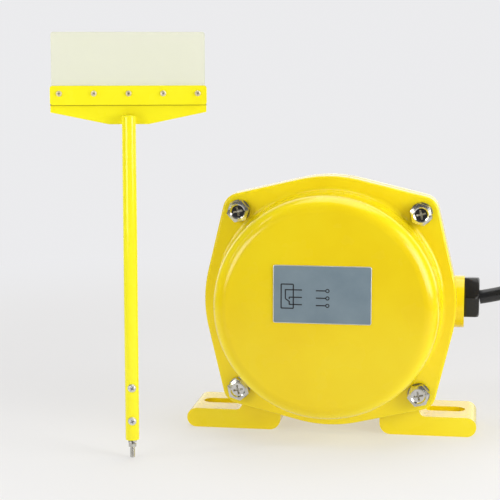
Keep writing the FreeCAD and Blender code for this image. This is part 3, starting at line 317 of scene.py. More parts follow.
# dark and light colour, least and most roughness
zinc = platedMetal("zincPlate", (0.60, 0.59, 0.55), (0.82, 0.81, 0.78), 0.16, 0.30)
dishZinc = platedMetal("dishZinc", (0.64, 0.63, 0.59), (0.80, 0.79, 0.76), 0.05, 0.10)
crossZinc = platedMetal("crossZinc", (0.62, 0.60, 0.54), (0.78, 0.76, 0.70), 0.46, 0.60)
brightZinc = platedMetal("brightZinc", (0.80, 0.81, 0.86), (0.93, 0.94, 0.98), 0.34, 0.48)
smallScrew = platedMetal("smallScrew", (0.86, 0.76, 0.54), (0.97, 0.90, 0.72), 0.52, 0.66)
plateRim = platedMetal("plateRim", (0.80, 0.83, 0.88), (0.92, 0.94, 0.98), 0.38, 0.50)
steel = platedMetal("groundSteel", (0.46, 0.46, 0.46), (0.60, 0.60, 0.60), 0.22, 0.36, (1.0, 0.15, 1.0))
# the spring washers' own dark steel, also used as painted shade deep in the pan head crosses and on the stud's
# neck in the split washer's gaps
darkSteelAndShade = platedMetal("springSteelAndPaintedShade", (0.20, 0.20, 0.21), (0.34, 0.34, 0.35), 0.28, 0.40)
bronze = platedMetal("bushBronze", (0.50, 0.30, 0.12), (0.66, 0.43, 0.19), 0.28, 0.42)
copper = platedMetal("bareCopper", (0.70, 0.33, 0.17), (0.86, 0.48, 0.28), 0.22, 0.36)
glandBlack = moulded("glandBlack", (0.007, 0.007, 0.006), (0.014, 0.012, 0.010), 0.18, 0.28)
cableBlack = moulded("cableBlack", (0.010, 0.010, 0.011), (0.022, 0.022, 0.023), 0.22, 0.34, 1400.0, 0.0001)
sealRubber = moulded("sealRubber", (0.012, 0.012, 0.012), (0.03, 0.03, 0.03), 0.50, 0.66)
gasketSheet = moulded("gasketSheet", (0.020, 0.019, 0.018), (0.05, 0.045, 0.04), 0.62, 0.78)
switchCase = moulded("switchCase", (0.015, 0.014, 0.013), (0.04, 0.035, 0.03), 0.40, 0.52)
redCore = moulded("redCore", (0.42, 0.015, 0.012), (0.56, 0.03, 0.02), 0.32, 0.44)
blueCore = moulded("blueCore", (0.012, 0.06, 0.36), (0.02, 0.10, 0.50), 0.32, 0.44)
greenCore = moulded("greenCore", (0.012, 0.22, 0.05), (0.03, 0.34, 0.09), 0.32, 0.44)
plateInk = moulded("plateInk", (0.008, 0.009, 0.012), (0.018, 0.02, 0.026), 0.5, 0.65)
plateFace = moulded("plateFace", (0.152, 0.21, 0.253), (0.19, 0.253, 0.298), 0.34, 0.46, 300.0, 0.0001)
paddleSheet = clearSheet("paddleSheet")
print("materials made")

slotFinish = {
    "yellow_paint": paint, "zinc": zinc, "steel": steel, "spring_steel": darkSteelAndShade, "bronze": bronze,
    "black_rubber": sealRubber, "gasket_rubber": gasketSheet, "gland_black": glandBlack,
    "cable_black": cableBlack, "plate_metal": plateFace, "switch_case": switchCase,
    "paddle_sheet": paddleSheet, "red_core": redCore, "blue_core": blueCore, "green_core": greenCore,
    "copper": copper,
}
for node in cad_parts.values():
    for slot in node.material_slots:
        slot.material = slotFinish[slot.material.name.split(".")[0]]
for nodeName in ("arm_tube", "arm_weld"):
    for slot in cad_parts[nodeName].material_slots:
        slot.material = armPaint


# floor
paper = {
    "reach": 3.0, "shade": (0.80, 0.80, 0.815), "mottle": 1.01, "grain": 3.0, "rough": 0.8, "specular": 0.1,
    "close": (0.905, 0.893, 0.882), "shadow": 0.50, "bounce": 0.6, "near": 0.30, "far": 0.75,
    "room": (0.03, 0.03, 0.033), "gleam": 0.8, "behind": (0.1, 0.5),
}
floorMaterial, floorTree, floorShader, floorWhere = startMaterial("floorPaper")
paleShade = tuple(paper["mottle"] * c for c in paper["shade"])
floorTint = clouded(floorTree, noise(floorTree, floorWhere, paper["grain"]), paper["shade"], paleShade)
floorTree.links.new(floorTint, floorShader.inputs["Base Color"])
floorShader.inputs["Roughness"].default_value = paper["rough"]
floorShader.inputs["Specular IOR Level"].default_value = paper["specular"]
# the paper takes the shadow near the pieces and runs out into the plain backdrop
away = floorTree.nodes.new("ShaderNodeVectorMath")
away.operation = "LENGTH"
floorTree.links.new(floorWhere, away.inputs[0])
fade = mapped(floorTree, away.outputs["Value"], paper["near"], paper["far"], 1.0, 0.0, "SMOOTHSTEP")
glow = floorTree.nodes.new("ShaderNodeEmission")
glowTint = ramp(floorTree, fade, [(0.0, studio["paper"]), (1.0, paper["close"])])
floorTree.links.new(glowTint, glow.inputs["Color"])
lit, plain = floorShader.outputs[0], glow.outputs[0]
viewed = blend(floorTree, times(floorTree, fade, paper["shadow"]), plain, lit)
bounced = blend(floorTree, paper["bounce"], lit, plain)
# a bright part mirrors the paper close by and behind, and the dark room in front
room = floorTree.nodes.new("ShaderNodeEmission")
room.inputs["Color"].default_value = (*paper["room"], 1.0)
beyond = blend(floorTree, zone(floorTree, floorWhere, "Y", *paper["behind"]), room.outputs[0], plain)
reflected = blend(floorTree, times(floorTree, fade, paper["gleam"]), beyond, bounced)
seen, mirrored = viewedDirectly(floorTree)
bounced = blend(floorTree, mirrored, bounced, reflected)
surface = blend(floorTree, seen, bounced, viewed)
floorTree.links.new(surface, floorTree.nodes["Material Output"].inputs["Surface"])
bm = bmesh.new()
bmesh.ops.create_grid(bm, x_segments=1, y_segments=1, size=paper["reach"])
floorMesh = bpy.data.meshes.new("floor")
bm.to_mesh(floorMesh)
bm.free()
floorMesh.materials.append(floorMaterial)
floor = bpy.data.objects.new("floor", floorMesh)
scene.collection.objects.link(floor)


# helpers for the pieces
ways = {
    "up": Matrix.Identity(4),
    "front": Matrix.Rotation(radians(90), 4, "X"),
    "right": Matrix.Rotation(radians(90), 4, "Y"),
}
axisHeight = 83.5
near = 0.01  # how close two places count as one
joined = {"cut": 0.00001, "skin": 0.0005, "piece": 0.0008, "cad": 0.002}  # gaps that are merged
squareEdge = 50.0  # least angle of an edge that is rounded
along, flat = 0.9, 0.999  # least part of a direction that runs roughly, or quite, with an axis


def polar(radius, degrees):
    return radius * cos(radians(degrees)), radius * sin(radians(degrees))


def move(bm, x, y, z, way="up"):
    bmesh.ops.transform(bm, matrix=Matrix.Translation((x, y, z)) @ ways[way], verts=bm.verts)


def ontoFront(bm, depth):
    # from the drawing plane to the front of the housing, round its axis
    move(bm, 0, depth, axisHeight, "front")


def turnRound(bm, degrees, verts):
    bmesh.ops.rotate(bm, cent=(0, 0, 0), matrix=Matrix.Rotation(radians(degrees), 3, "Z"), verts=verts)


def newVerts(made):
    return [g for g in made["geom"] if isinstance(g, bmesh.types.BMVert)]


def rod(bm, x, y, low, length, sides, radius, tip=None):
    # a capped bar along Z, its upper end tapered if a tip is given
    bmesh.ops.create_cone(
        bm, cap_ends=True, segments=sides, radius1=radius, radius2=tip or radius, depth=length,
        matrix=Matrix.Translation((x, y, low + length / 2)),
    )


def spun(bm, section, steps, closed=True):
    # half section of (radius, height) points turned round Z
    verts = [bm.verts.new((r, 0, z)) for r, z in section]
    pairs = list(zip(verts, verts[1:]))
    if closed:
        pairs.append((verts[-1], verts[0]))
    edges = [bm.edges.new(pair) for pair in pairs]
    before = set(bm.verts)
    bmesh.ops.spin(
        bm, geom=verts + edges, cent=(0, 0, 0), axis=(0, 0, 1), angle=2 * pi, steps=steps, use_merge=True,
    )
    return verts + [v for v in bm.verts if v not in before]


def prism(bm, outline, low, high):
    face = bm.faces.new([bm.verts.new((x, y, low)) for x, y in outline])
    top = newVerts(bmesh.ops.extrude_face_region(bm, geom=[face]))
    bmesh.ops.translate(bm, vec=(0, 0, high - low), verts=top)


def sixFlats(bm, flats, first=0.0):
    # trims a turned blank to a hexagon, as a mill would
    for i in range(6):
        out = Vector((*polar(1.0, first + 60 * i), 0))
        cut = bmesh.ops.bisect_plane(
            bm, geom=bm.verts[:] + bm.edges[:] + bm.faces[:], dist=joined["cut"], plane_co=out * flats / 2,
            plane_no=out, clear_outer=True,
        )
        rim = [g for g in cut["geom_cut"] if isinstance(g, bmesh.types.BMEdge)]
        if rim:
            bmesh.ops.contextual_create(bm, geom=rim)


def rimEdges(bm):
    return [e for e in bm.edges if len(e.link_faces) == 1]


def sharpEdges(bm, least):
    return [e for e in bm.edges if len(e.link_faces) == 2 and e.calc_face_angle(0.0) > radians(least)]


def roundEdges(bm, edges, width, segments, clamp=False):
    bmesh.ops.bevel(
        bm, geom=edges, offset=width, offset_type="OFFSET", segments=segments, profile=0.5, affect="EDGES",
        material=-1, clamp_overlap=clamp,
    )


def softenEdges(bm, width, segments=2, least=squareEdge):
    roundEdges(bm, sharpEdges(bm, least), width, segments, clamp=True)


recess = {"cells": 5, "taper": 0.72}


def crossRecess(bm, half, depth, level):
    # a square of cells whose middle row and column sink into a tapered cross
    cells = recess["cells"]
    made = bmesh.ops.create_grid(
        bm, x_segments=cells, y_segments=cells, size=half, matrix=Matrix.Translation((0, 0, level)),
    )
    arms = []
    for face in {f for v in made["verts"] for f in v.link_faces}:
        spot = face.calc_center_median()
        if min(abs(spot.x), abs(spot.y)) < half / cells:
            arms.append(face)
    floorVerts = newVerts(bmesh.ops.extrude_face_region(bm, geom=arms))
    bmesh.ops.translate(bm, vec=(0, 0, -depth), verts=floorVerts)
    bmesh.ops.scale(bm, vec=(recess["taper"], recess["taper"], 1.0), verts=floorVerts)
    bmesh.ops.delete(bm, geom=[f for f in arms if f.is_valid], context="FACES_ONLY")
    edges = {e for v in made["verts"] if v.is_valid for e in v.link_edges}
    return [e for e in edges if len(e.link_faces) == 1]


def finishPiece(name, bm, finish, body, nodes, smooth=40.0):
    bmesh.ops.remove_doubles(bm, verts=bm.verts, dist=joined["piece"])
    bmesh.ops.recalc_face_normals(bm, faces=bm.faces)
    bmesh.ops.scale(bm, vec=(mm, mm, mm), verts=bm.verts)
    for face in bm.faces:
        face.smooth = True
    for edge in bm.edges:
        edge.smooth = len(edge.link_faces) == 2 and edge.calc_face_angle(0.0) < radians(smooth)
    mesh = bpy.data.meshes.new(name)
    bm.to_mesh(mesh)
    bm.free()
    for entry in finish if isinstance(finish, list) else [finish]:
        mesh.materials.append(entry)
    piece = bpy.data.objects.new(name, mesh)
    scene.collection.objects.link(piece)
    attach(piece, body)
    if nodes:
        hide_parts(*nodes)
    return piece


# cable, with its put-away coil beside the switch
cable = {
    "diameter": 8.5, "length": 1.0, "sideSteps": 7, "runSteps": 6,
    "route": [
        (90.2, 83.5), (97.0, 84.7), (107.0, 87.2), (125.0, 93.0), (148.0, 92.2), (171.1, 78.3), (189.6, 48.6),
        (210.1, 34.3),
    ],
    "coil": {
        "x": 234.0, "y": 46.0, "radius": 46.6, "turns": 2.75, "top": 29.475, "bottom": 5.55, "perTurn": 16,
    },
    "tail": [(188.0, 34.0, 5.55), (188.0, 10.0, 5.55)],
}
coil = cable["coil"]
cablePoints = [(x, 0.0, z) for x, z in cable["route"]]
steps = int(coil["turns"] * coil["perTurn"])
for i in range(steps + 1):
    x, y = polar(coil["radius"], 360 * i / coil["perTurn"] - 90)
    level = coil["top"] + (coil["bottom"] - coil["top"]) * i / steps
    cablePoints.append((coil["x"] + x, coil["y"] + y, level))
cablePoints += cable["tail"]
cableEnd = cablePoints[-1]
cableCurve = bpy.data.curves.new("cableLead", "CURVE")
cableCurve.dimensions = "3D"
cableCurve.bevel_depth = cable["diameter"] / 2 * mm
cableCurve.bevel_resolution = cable["sideSteps"]
cableCurve.resolution_u = cable["runSteps"]
cableCurve.use_fill_caps = True
line = cableCurve.splines.new("NURBS")
line.points.add(len(cablePoints) - 1)
for point, (x, y, z) in zip(line.points, cablePoints):
    point.co = (x * mm, y * mm, z * mm, 1.0)
line.order_u = 3
line.use_endpoint_u = True
cableCurve.materials.append(cableBlack)
lead = bpy.data.objects.new("cableLead", cableCurve)
scene.collection.objects.link(lead)
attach(lead, "housing")
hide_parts("cable", "cable_coil", "cable_tail")

# bare end: three stripped cores with seven strands each
cores = {
    "bearings": (90, 210, 330), "ring": 2.2, "radius": 1.0, "length": 26.0, "sides": 20, "edge": 0.25,
    "tip": 6.0, "strandRing": 0.372, "strand": 0.21, "strandTip": 0.19, "strandSides": 8,
}
bm = bmesh.new()
for number, bearing in enumerate(cores["bearings"]):
    known = set(bm.faces)
    rod(bm, *polar(cores["ring"], bearing), 0, cores["length"], cores["sides"], cores["radius"])
    for face in bm.faces:
        if face not in known:
            face.material_index = number
softenEdges(bm, cores["edge"])
move(bm, *cableEnd, "front")
coreEnds = finishPiece("coreEnds", bm, [redCore, blueCore, greenCore], "housing", ["end_cores"])
bm = bmesh.new()
for bearing in cores["bearings"]:
    x, y = polar(cores["ring"], bearing)
    for dx, dy in [polar(cores["strandRing"], 60 * strand) for strand in range(6)] + [(0, 0)]:
        rod(bm, x + dx, y + dy, cores["length"], cores["tip"], cores["strandSides"], cores["strand"],
            cores["strandTip"])
move(bm, *cableEnd, "front")
coreTips = finishPiece("coreTips", bm, copper, "housing", ["end_tips"])

# band round the coil
tie = {
    "size": (12.4, 4.8, 34.9), "centre": (280.0, 46.0, 17.45), "wall": 1.1, "corner": 3.0, "cornerSteps": 5,
    "edge": 0.2,
}
bm = bmesh.new()
bmesh.ops.create_cube(bm, size=1.0)
bmesh.ops.scale(bm, vec=tie["size"], verts=bm.verts)
ends = [f for f in bm.faces if abs(f.normal.y) > along]
bmesh.ops.delete(bm, geom=ends, context="FACES_ONLY")
bends = [e for e in bm.edges if abs((e.verts[0].co - e.verts[1].co).normalized().y) > along]
roundEdges(bm, bends, tie["corner"], tie["cornerSteps"])
bmesh.ops.recalc_face_normals(bm, faces=bm.faces)
bmesh.ops.solidify(bm, geom=bm.faces[:], thickness=tie["wall"])
softenEdges(bm, tie["edge"], 1)
move(bm, *tie["centre"])
tieBand = finishPiece("tieBand", bm, glandBlack, "housing", ["coil_tie"])
print("cable laid,", len(cablePoints), "points")


# cover: flange trimmed round the four screws, with the turned, hollow dome on it
cover = {
    "flange": 76.7, "lobe": 10.5, "pitch": 110.0, "hole": 4.5, "thickness": 8.0, "edge": 1.5, "dome": 68.0,
    "draft": 1.2, "height": 31.0, "round": 9.0, "foot": 2.5, "lip": 0.2, "wall": 4.5, "plane": -23.5,
    "flangeSides": 144, "lobeSides": 48, "holeSides": 40, "turnSteps": 160, "edgeSteps": 4, "roundSteps": 12,
    "footSteps": 6, "innerSteps": 6, "rimAngle": 60.0, "flatAngle": 0.3,
}
half = cover["pitch"] / 2
corners = [(sx * half, sy * half) for sx in (-1, 1) for sy in (-1, 1)]
front = cover["thickness"]


def ringEdges(bm, radius, height):
    found = []
    for e in bm.edges:
        if all(abs(v.co.z - height) < near and abs(v.co.xy.length - radius) < near for v in e.verts):
            found.append(e)
    return found


def turnedSkin(bm, section, rounds):
    # a skin turned from a half section, with some of its rings rounded
    spun(bm, section, cover["turnSteps"], closed=False)
    bmesh.ops.remove_doubles(bm, verts=bm.verts, dist=joined["skin"])
    for radius, height, width, segments in rounds:
        roundEdges(bm, ringEdges(bm, radius, height), width, segments)


bm = bmesh.new()
rod(bm, 0, 0, 0, front, cover["flangeSides"], cover["flange"])
for x, y in corners:
    rod(bm, x, y, 0, front, cover["lobeSides"], cover["lobe"])
bmesh.ops.delete(bm, geom=bm.edges[:] + bm.faces[:], context="EDGES_FACES")
bmesh.ops.convex_hull(bm, input=bm.verts[:])
bmesh.ops.delete(bm, geom=[v for v in bm.verts if not v.link_faces], context="VERTS")
bmesh.ops.dissolve_limit(bm, angle_limit=radians(cover["flatAngle"]), verts=bm.verts[:], edges=bm.edges[:])
rims = [e for e in sharpEdges(bm, cover["rimAngle"]) if min(v.co.z for v in e.verts) > front - near]
roundEdges(bm, rims, cover["edge"], cover["edgeSteps"])
bm.normal_update()
bmesh.ops.delete(bm, geom=[f for f in bm.faces if abs(f.normal.z) > flat], context="FACES_ONLY")

# outer and inner skin of the dome, then the screw holes, then the flat rings of the flange
domeTop = front + cover["height"]
domeRim = cover["dome"] - cover["draft"]
footEnd = cover["dome"] + cover["foot"] + cover["lip"]
turnedSkin(
    bm, [(footEnd, front), (cover["dome"], front), (domeRim, domeTop), (0, domeTop)],
    [
        (domeRim, domeTop, cover["round"], cover["roundSteps"]),
        (cover["dome"], front, cover["foot"], cover["footSteps"]),
    ],
)
inside = (domeRim - cover["wall"], domeTop - cover["wall"])
turnedSkin(
    bm, [(0, inside[1]), inside, (cover["dome"] - cover["wall"], 0)],
    [(*inside, cover["round"] - cover["wall"], cover["innerSteps"])],
)
for x, y in corners:
    rings = []
    for level in (0, front):
        ring = bmesh.ops.create_circle(
            bm, cap_ends=False, segments=cover["holeSides"], radius=cover["hole"],
            matrix=Matrix.Translation((x, y, level)),
        )
        rings += {e for v in ring["verts"] for e in v.link_edges}
    bmesh.ops.bridge_loops(bm, edges=rings)
for level in (0, front):
    rims = [e for e in rimEdges(bm) if all(abs(v.co.z - level) < near for v in e.verts)]
    bmesh.ops.triangle_fill(bm, use_beauty=True, use_dissolve=False, edges=rims)
ontoFront(bm, cover["plane"])
domeCover = finishPiece("domeCover", bm, coverPaint, "housing", ["cover"])
even = domeCover.modifiers.new("even", "WEIGHTED_NORMAL")
even.keep_sharp = True
print("cover turned")


# cover screws and their split washers
def fourCorners(bm):
    # moves a drawn piece to the upper right corner and copies it to the three others
    move(bm, half, half, 0)
    source = bm.verts[:] + bm.edges[:] + bm.faces[:]
    for quarter in (1, 2, 3):
        turnRound(bm, 90 * quarter, newVerts(bmesh.ops.duplicate(bm, geom=source)))


screw = {
    "flats": 12.0, "head": 5.3, "shank": 4.0, "length": 27.5, "point": 1.0, "seat": -33.6, "turn": 12.0,
    "dish": 4.2, "dishDepth": 0.9, "cross": 2.9, "crossDepth": 1.6, "crossFrom": 0.02,
    "bowl": [(-0.35, 0.0), (0.0, 0.25)],  # out from the dish, up from its floor
    "lip": [(0.25, 0.1), (0.4, 0.0)],  # out from the dish, down from the top
    "crown": (0.35, 0.4),  # in from the flats, down from the top
    "chamfer": 0.9, "heel": [(0.0, 0.35), (0.5, 0.0)],  # in from the corners, up from the seat
    "steps": 60, "smooth": 28.0,
}
corner = screw["flats"] / sqrt(3)
bowl = screw["head"] - screw["dishDepth"]
bm = bmesh.new()
spun(bm, [
    *((screw["dish"] + out, bowl + up) for out, up in screw["bowl"]),
    *((screw["dish"] + out, screw["head"] - down) for out, down in screw["lip"]),
    (screw["flats"] / 2 - screw["crown"][0], screw["head"] - screw["crown"][1]),
    (corner, screw["head"] - screw["chamfer"]), *((corner - into, up) for into, up in screw["heel"]),
    (screw["shank"], 0), (screw["shank"], screw["point"] - screw["length"]),
    (screw["shank"] - screw["point"], -screw["length"]), (0, -screw["length"]),
], screw["steps"], closed=False)
bmesh.ops.remove_doubles(bm, verts=bm.verts, dist=joined["skin"])
sixFlats(bm, screw["flats"])
bowlRim = rimEdges(bm)
square = crossRecess(bm, screw["cross"], screw["crossDepth"], bowl)
bmesh.ops.bridge_loops(bm, edges=bowlRim + square)
for face in bm.faces:
    spot = face.calc_center_median()
    if spot.z > 0 and spot.xy.length < screw["dish"]:
        face.material_index = 1 if spot.z > bowl - screw["crossFrom"] else 2
turnRound(bm, screw["turn"], bm.verts)
fourCorners(bm)
ontoFront(bm, screw["seat"])
finishPiece(
    "hexScrews", bm, [zinc, dishZinc, crossZinc], "housing", ["cover_screws"], screw["smooth"],
)


def splitRing(bm, ring, steps=56):
    # a square bar wound once round Z, its two ends a little apart
    inner, outer, bar = ring["inner"], ring["outer"], ring["bar"]
    section = ((inner, 0), (outer, 0), (outer, bar), (inner, bar))
    face = bm.faces.new([bm.verts.new((r, 0, z)) for r, z in section])
    bmesh.ops.spin(
        bm, geom=[face] + face.verts[:] + face.edges[:], cent=(0, 0, 0), axis=(0, 0, 1),
        dvec=(0, 0, ring["rise"] / steps), angle=radians(360 - ring["gap"]), steps=steps, use_merge=False,
    )
    bmesh.ops.holes_fill(bm, edges=rimEdges(bm), sides=4)
    bmesh.ops.recalc_face_normals(bm, faces=bm.faces)
    softenEdges(bm, ring["edge"])


washer = {
    "inner": 4.25, "outer": 6.7, "bar": 1.85, "gap": 8.0, "rise": 0.15, "edge": 0.25,
    "lift": 0.05, "seat": -31.5,
}
bm = bmesh.new()
splitRing(bm, washer)
move(bm, 0, 0, washer["lift"])
fourCorners(bm)
ontoFront(bm, washer["seat"])
finishPiece("springWashers", bm, darkSteelAndShade, "housing", ["cover_spring_washers"])
print("screws set")


# bare plate with a plain contact diagram
plate = {
    "width": 58.0, "height": 34.5, "thickness": 0.8, "shift": -1.0, "rise": 9.6, "face": -62.5,
    "corner": 1.2, "cornerSteps": 5, "edge": 0.55, "edgeSteps": 3,
    "sink": 0.01, "ink": 0.04, "line": 0.72,  # the print's depth, height and width
    "ring": 0.95, "ringLine": 0.6, "ringSteps": 20, "ringAt": [(3.2, 2.5), (3.2, -1.9), (3.2, -6.3)],
    "strokes": [
        (-24.1, 6.0, -16.9, 6.0), (-16.9, 6.0, -16.9, -8.3), (-16.9, -8.3, -24.1, -8.3),
        (-24.1, -8.3, -24.1, 6.0),
        (-21.6, 2.7, -11.8, 2.7), (-21.6, 2.9, -21.6, -2.7), (-21.6, -2.6, -19.0, -4.5),
        (-19.3, -1.7, -11.8, -1.7), (-19.3, -1.5, -19.3, -2.9),
        (-19.3, -6.0, -11.8, -6.0), (-19.3, -4.4, -19.3, -6.2),
        (-3.6, 2.5, 2.3, 2.5), (-3.6, -1.9, 2.3, -1.9), (-3.6, -6.3, 2.3, -6.3),
    ],
}
inkLow, inkHigh = plate["thickness"] - plate["sink"], plate["thickness"] + plate["ink"]


def inkBar(bm, x0, y0, x1, y1):
    # a printed stroke from one point to another
    run = Vector((x1 - x0, y1 - y0, 0))
    side = Vector((-run.y, run.x, 0)).normalized() * plate["line"] / 2
    a, b = Vector((x0, y0, 0)), Vector((x1, y1, 0))
    prism(bm, [(p.x, p.y) for p in (a - side, b - side, b + side, a + side)], inkLow, inkHigh)


def inkRing(bm, x, y):
    inner, outer = plate["ring"] - plate["ringLine"] / 2, plate["ring"] + plate["ringLine"] / 2
    section = [(inner, inkLow), (outer, inkLow), (outer, inkHigh), (inner, inkHigh)]
    bmesh.ops.translate(bm, vec=(x, y, 0), verts=spun(bm, section, plate["ringSteps"]))


def ontoDome(bm):
    move(bm, plate["shift"], plate["rise"], 0)
    ontoFront(bm, plate["face"])


bm = bmesh.new()
wide, tall = plate["width"] / 2, plate["height"] / 2
prism(bm, [(-wide, -tall), (wide, -tall), (wide, tall), (-wide, tall)], 0, plate["thickness"])
upright = [e for e in bm.edges if abs(e.verts[0].co.z - e.verts[1].co.z) > near]
roundEdges(bm, upright, plate["corner"], plate["cornerSteps"])
softenEdges(bm, plate["edge"], plate["edgeSteps"])
bm.normal_update()
for face in bm.faces:
    face.material_index = 0 if face.normal.z > flat else 1
ontoDome(bm)
finishPiece("metalPlate", bm, [plateFace, plateRim], "housing", ["nameplate"])

bm = bmesh.new()
for stroke in plate["strokes"]:
    inkBar(bm, *stroke)
for x, y in plate["ringAt"]:
    inkRing(bm, x, y)
ontoDome(bm)
finishPiece("contactDiagram", bm, plateInk, "housing", [])
print("plate made")


# gland
gland = {
    "flats": 24.0, "turn": -6.0, "head": 9.2, "bore": 4.65, "face": 81.0, "thread": 9.9, "threadEnd": -3.5,
    "heel": [(0.5, 0.0), (0.0, 0.4)],  # in from the corners, up from the seat
    "crown": [(0.0, 2.6), (0.45, 1.5), (1.4, 0.55), (3.0, 0.0)],  # in from the corners, down from the top
    "mouth": [(1.9, 0.0), (0.5, 0.7), (0.0, 1.6)],  # out from the bore, down from the top
    "edge": 0.35, "edgeAngle": 45.0, "steps": 96, "smooth": 32.0,
}
corner = gland["flats"] / sqrt(3)
bm = bmesh.new()
spun(bm, [
    (gland["bore"], gland["threadEnd"]), (gland["thread"], gland["threadEnd"]), (gland["thread"], 0),
    *((corner - into, up) for into, up in gland["heel"]),
    *((corner - into, gland["head"] - down) for into, down in gland["crown"]),
    *((gland["bore"] + out, gland["head"] - down) for out, down in gland["mouth"]),
], gland["steps"])
sixFlats(bm, gland["flats"], gland["turn"])
softenEdges(bm, gland["edge"], least=gland["edgeAngle"])
move(bm, gland["face"], 0, axisHeight, "right")
finishPiece("glandScrew", bm, glandBlack, "housing", ["gland_nut"], gland["smooth"])
print("gland made")


# paddle arm
stand = {"at": (-107.9, -95.5, 0.0), "turn": 13.4}
armPlace = Matrix.Translation(stand["at"]) @ Matrix.Rotation(radians(stand["turn"]), 4, "Z")
armFront = armPlace.to_3x3() @ Vector((0, -1, 0))


def armMove(bm):
    bmesh.ops.transform(bm, matrix=armPlace, verts=bm.verts)


thread = {
    "radius": 1.5, "root": 1.24, "pitch": 0.5, "lead": 0.25, "top": 6.1, "crest": (0.4, 0.55), "valley": 0.95,
    "neck": 1.08, "foot": 10.85, "plug": 2.9, "plugTop": 52.7, "steps": 32, "smooth": 30.0,
}
profile = [(0, 0), (thread["root"] - thread["lead"], 0), (thread["root"], thread["lead"])]
level = thread["lead"]
while level + thread["pitch"] < thread["top"]:
    profile += [(thread["radius"], level + thread["pitch"] * share) for share in thread["crest"]]
    profile.append((thread["root"], level + thread["pitch"] * thread["valley"]))
    level += thread["pitch"]
profile += [
    (thread["neck"], thread["top"]), (thread["neck"], thread["foot"]), (thread["plug"], thread["foot"]),
    (thread["plug"], thread["plugTop"]), (0, thread["plugTop"]),
]
bm = bmesh.new()
spun(bm, profile, thread["steps"], closed=False)
# the neck between thread and tube takes the dark steel finish: painted shade where it shows through the gaps
# round the split washer
for face in bm.faces:
    if thread["top"] < face.calc_center_median().z < thread["foot"]:
        face.material_index = 1
armMove(bm)
finishPiece("armStud", bm, [zinc, darkSteelAndShade], "arm", ["arm_stud_bar"], thread["smooth"])

nut = {
    "flats": 4.5, "low": 6.4, "height": 2.2, "bore": 1.22, "steps": 48, "smooth": 28.0,
    "mouth": (0.25, 0.2), "chamfer": (0.15, 0.4),  # across and along the bore
}
corner = nut["flats"] / sqrt(3)
mouth = nut["bore"] + nut["mouth"][0]
brim = nut["flats"] / 2 - nut["chamfer"][0]
bm = bmesh.new()
spun(bm, [
    (nut["bore"], nut["mouth"][1]), (mouth, 0), (brim, 0), (corner, nut["chamfer"][1]),
    (corner, nut["height"] - nut["chamfer"][1]), (brim, nut["height"]), (mouth, nut["height"]),
    (nut["bore"], nut["height"] - nut["mouth"][1]),
], nut["steps"])
sixFlats(bm, nut["flats"])
move(bm, 0, 0, nut["low"])
armMove(bm)
finishPiece("lockNut", bm, zinc, "arm", ["arm_lock_nut"], nut["smooth"])

armWasher = {
    "inner": 1.6, "outer": 2.58, "bar": 1.2, "gap": 14.0, "rise": -0.9, "edge": 0.15,
    "low": 8.62, "smooth": 30.0,
}
bm = bmesh.new()
splitRing(bm, armWasher)
turnRound(bm, armWasher["gap"] / 2 - 90, bm.verts)
move(bm, 0, 0, armWasher["low"] - armWasher["rise"])
armMove(bm)
finishPiece("springLock", bm, zinc, "arm", ["arm_washer"], armWasher["smooth"])

pan = {
    "mouth": 1.45, "lip": 0.02,  # the dome's rim round the cross
    "curve": [(0.8, 0.14), (0.95, 0.4), (1.0, 0.75)],  # shares of the radius, and of the rise down from the top
    "dark": 0.3,  # share of the cross's depth from which it is painted dark, as shade deep in the recess
    "steps": 40, "smooth": 32.0,
}


def panHead(bm, kind, turn):
    # domed head with a cross recess, its seat at height 0
    radius, top, shank, grip = kind["head"], kind["rise"], kind["shank"], kind["grip"]
    spun(bm, [
        (kind["cross"] * pan["mouth"], top - pan["lip"]),
        *((radius * out, top - top * down) for out, down in pan["curve"]),
        (radius, 0), (shank, 0), (shank, -grip), (0, -grip),
    ], pan["steps"], closed=False)
    bmesh.ops.remove_doubles(bm, verts=bm.verts, dist=joined["skin"])
    rim = rimEdges(bm)
    square = crossRecess(bm, kind["cross"], kind["depth"], top)
    bmesh.ops.bridge_loops(bm, edges=rim + square)
    # faces deep in the cross take the dark steel finish: painted shade in the recess
    for face in bm.faces:
        spot = face.calc_center_median()
        if 0 < spot.z < top - kind["depth"] * pan["dark"] and spot.xy.length < kind["cross"]:
            face.material_index = 1
    turnRound(bm, turn, bm.verts)


def screwSet(name, kind, places, finish, node):
    # the same screw at several places on the arm's front
    bm = bmesh.new()
    for (x, y, z), turn in zip(places, kind["turns"]):
        one = bmesh.new()
        panHead(one, kind, turn)
        move(one, x, y, z, "front")
        part = bpy.data.meshes.new("screwPart")
        one.to_mesh(part)
        one.free()
        bm.from_mesh(part)
        bpy.data.meshes.remove(part)
    armMove(bm)
    finishPiece(name, bm, [finish, darkSteelAndShade], "arm", [node], pan["smooth"])


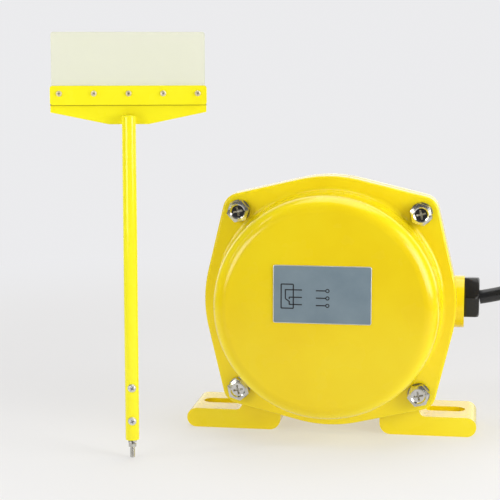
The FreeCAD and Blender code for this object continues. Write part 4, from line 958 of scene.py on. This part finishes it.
tubeScrew = {
    "head": 2.45, "rise": 2.1, "cross": 1.1, "depth": 0.9, "shank": 1.25, "grip": 5.4, "seat": -3.6,
    "levels": (22.5, 42.0), "turns": (20, 55),
}
places = [(0, tubeScrew["seat"], level) for level in tubeScrew["levels"]]
screwSet("crossScrews", tubeScrew, places, brightZinc, "arm_cross_screws")

clamp = {
    "head": 1.68, "rise": 1.25, "cross": 0.7, "depth": 0.6, "shank": 1.0, "grip": 8.2, "pitch": 19.5,
    "height": 211.0, "turns": (10, 40, 75, 25, 60),
}
places = [(step * clamp["pitch"], 0, clamp["height"]) for step in (-2, -1, 0, 1, 2)]
screwSet("clampScrews", clamp, places, smallScrew, "clamp_screws")
print("arm hardware made")


# CAD shapes that only need their sharp edges eased
easing = {"segments": 2, "least": 35.0, "flatAngle": 0.4, "smooth": 34.0, "weld": 0.004}


def eased(nodeName, name, finish, body, width):
    bm = bmesh.new()
    bm.from_mesh(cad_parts[nodeName].data)
    bmesh.ops.scale(bm, vec=(1 / mm, 1 / mm, 1 / mm), verts=bm.verts)
    bmesh.ops.remove_doubles(bm, verts=bm.verts, dist=joined["cad"])
    bmesh.ops.dissolve_limit(bm, angle_limit=radians(easing["flatAngle"]), verts=bm.verts[:], edges=bm.edges[:])
    if isinstance(finish, list):  # the second finish goes on the arm's front
        for face in bm.faces:
            face.material_index = int(face.normal.dot(armFront) > along)
    piece = finishPiece(name, bm, finish, body, [nodeName], easing["smooth"])
    ease = piece.modifiers.new("ease", "BEVEL")
    ease.width = width * mm
    ease.segments = easing["segments"]
    ease.limit_method = "ANGLE"
    ease.angle_limit = radians(easing["least"])
    ease.use_clamp_overlap = True
    ease.harden_normals = True
    weld = piece.modifiers.new("weld", "WELD")
    weld.merge_threshold = easing["weld"] * mm


for nodeName, name, finish, body, slot, width in (
    ("casing", "castBody", paint, "housing", "yellow_paint", 1.0),
    ("head_plate", "headPlate", [armPaint, headPaint], "arm", "yellow_paint", 0.4),
    ("clamp_strip", "clampStrip", armPaint, "arm", "yellow_paint", 0.4),
    ("paddle", "paddleBlade", paddleSheet, "arm", "paddle_sheet", 0.3),
    ("swing_lever", "swingLever", zinc, "swing", "zinc", 0.5),
):
    eased(nodeName, name, finish, body, width)
print("edges eased")
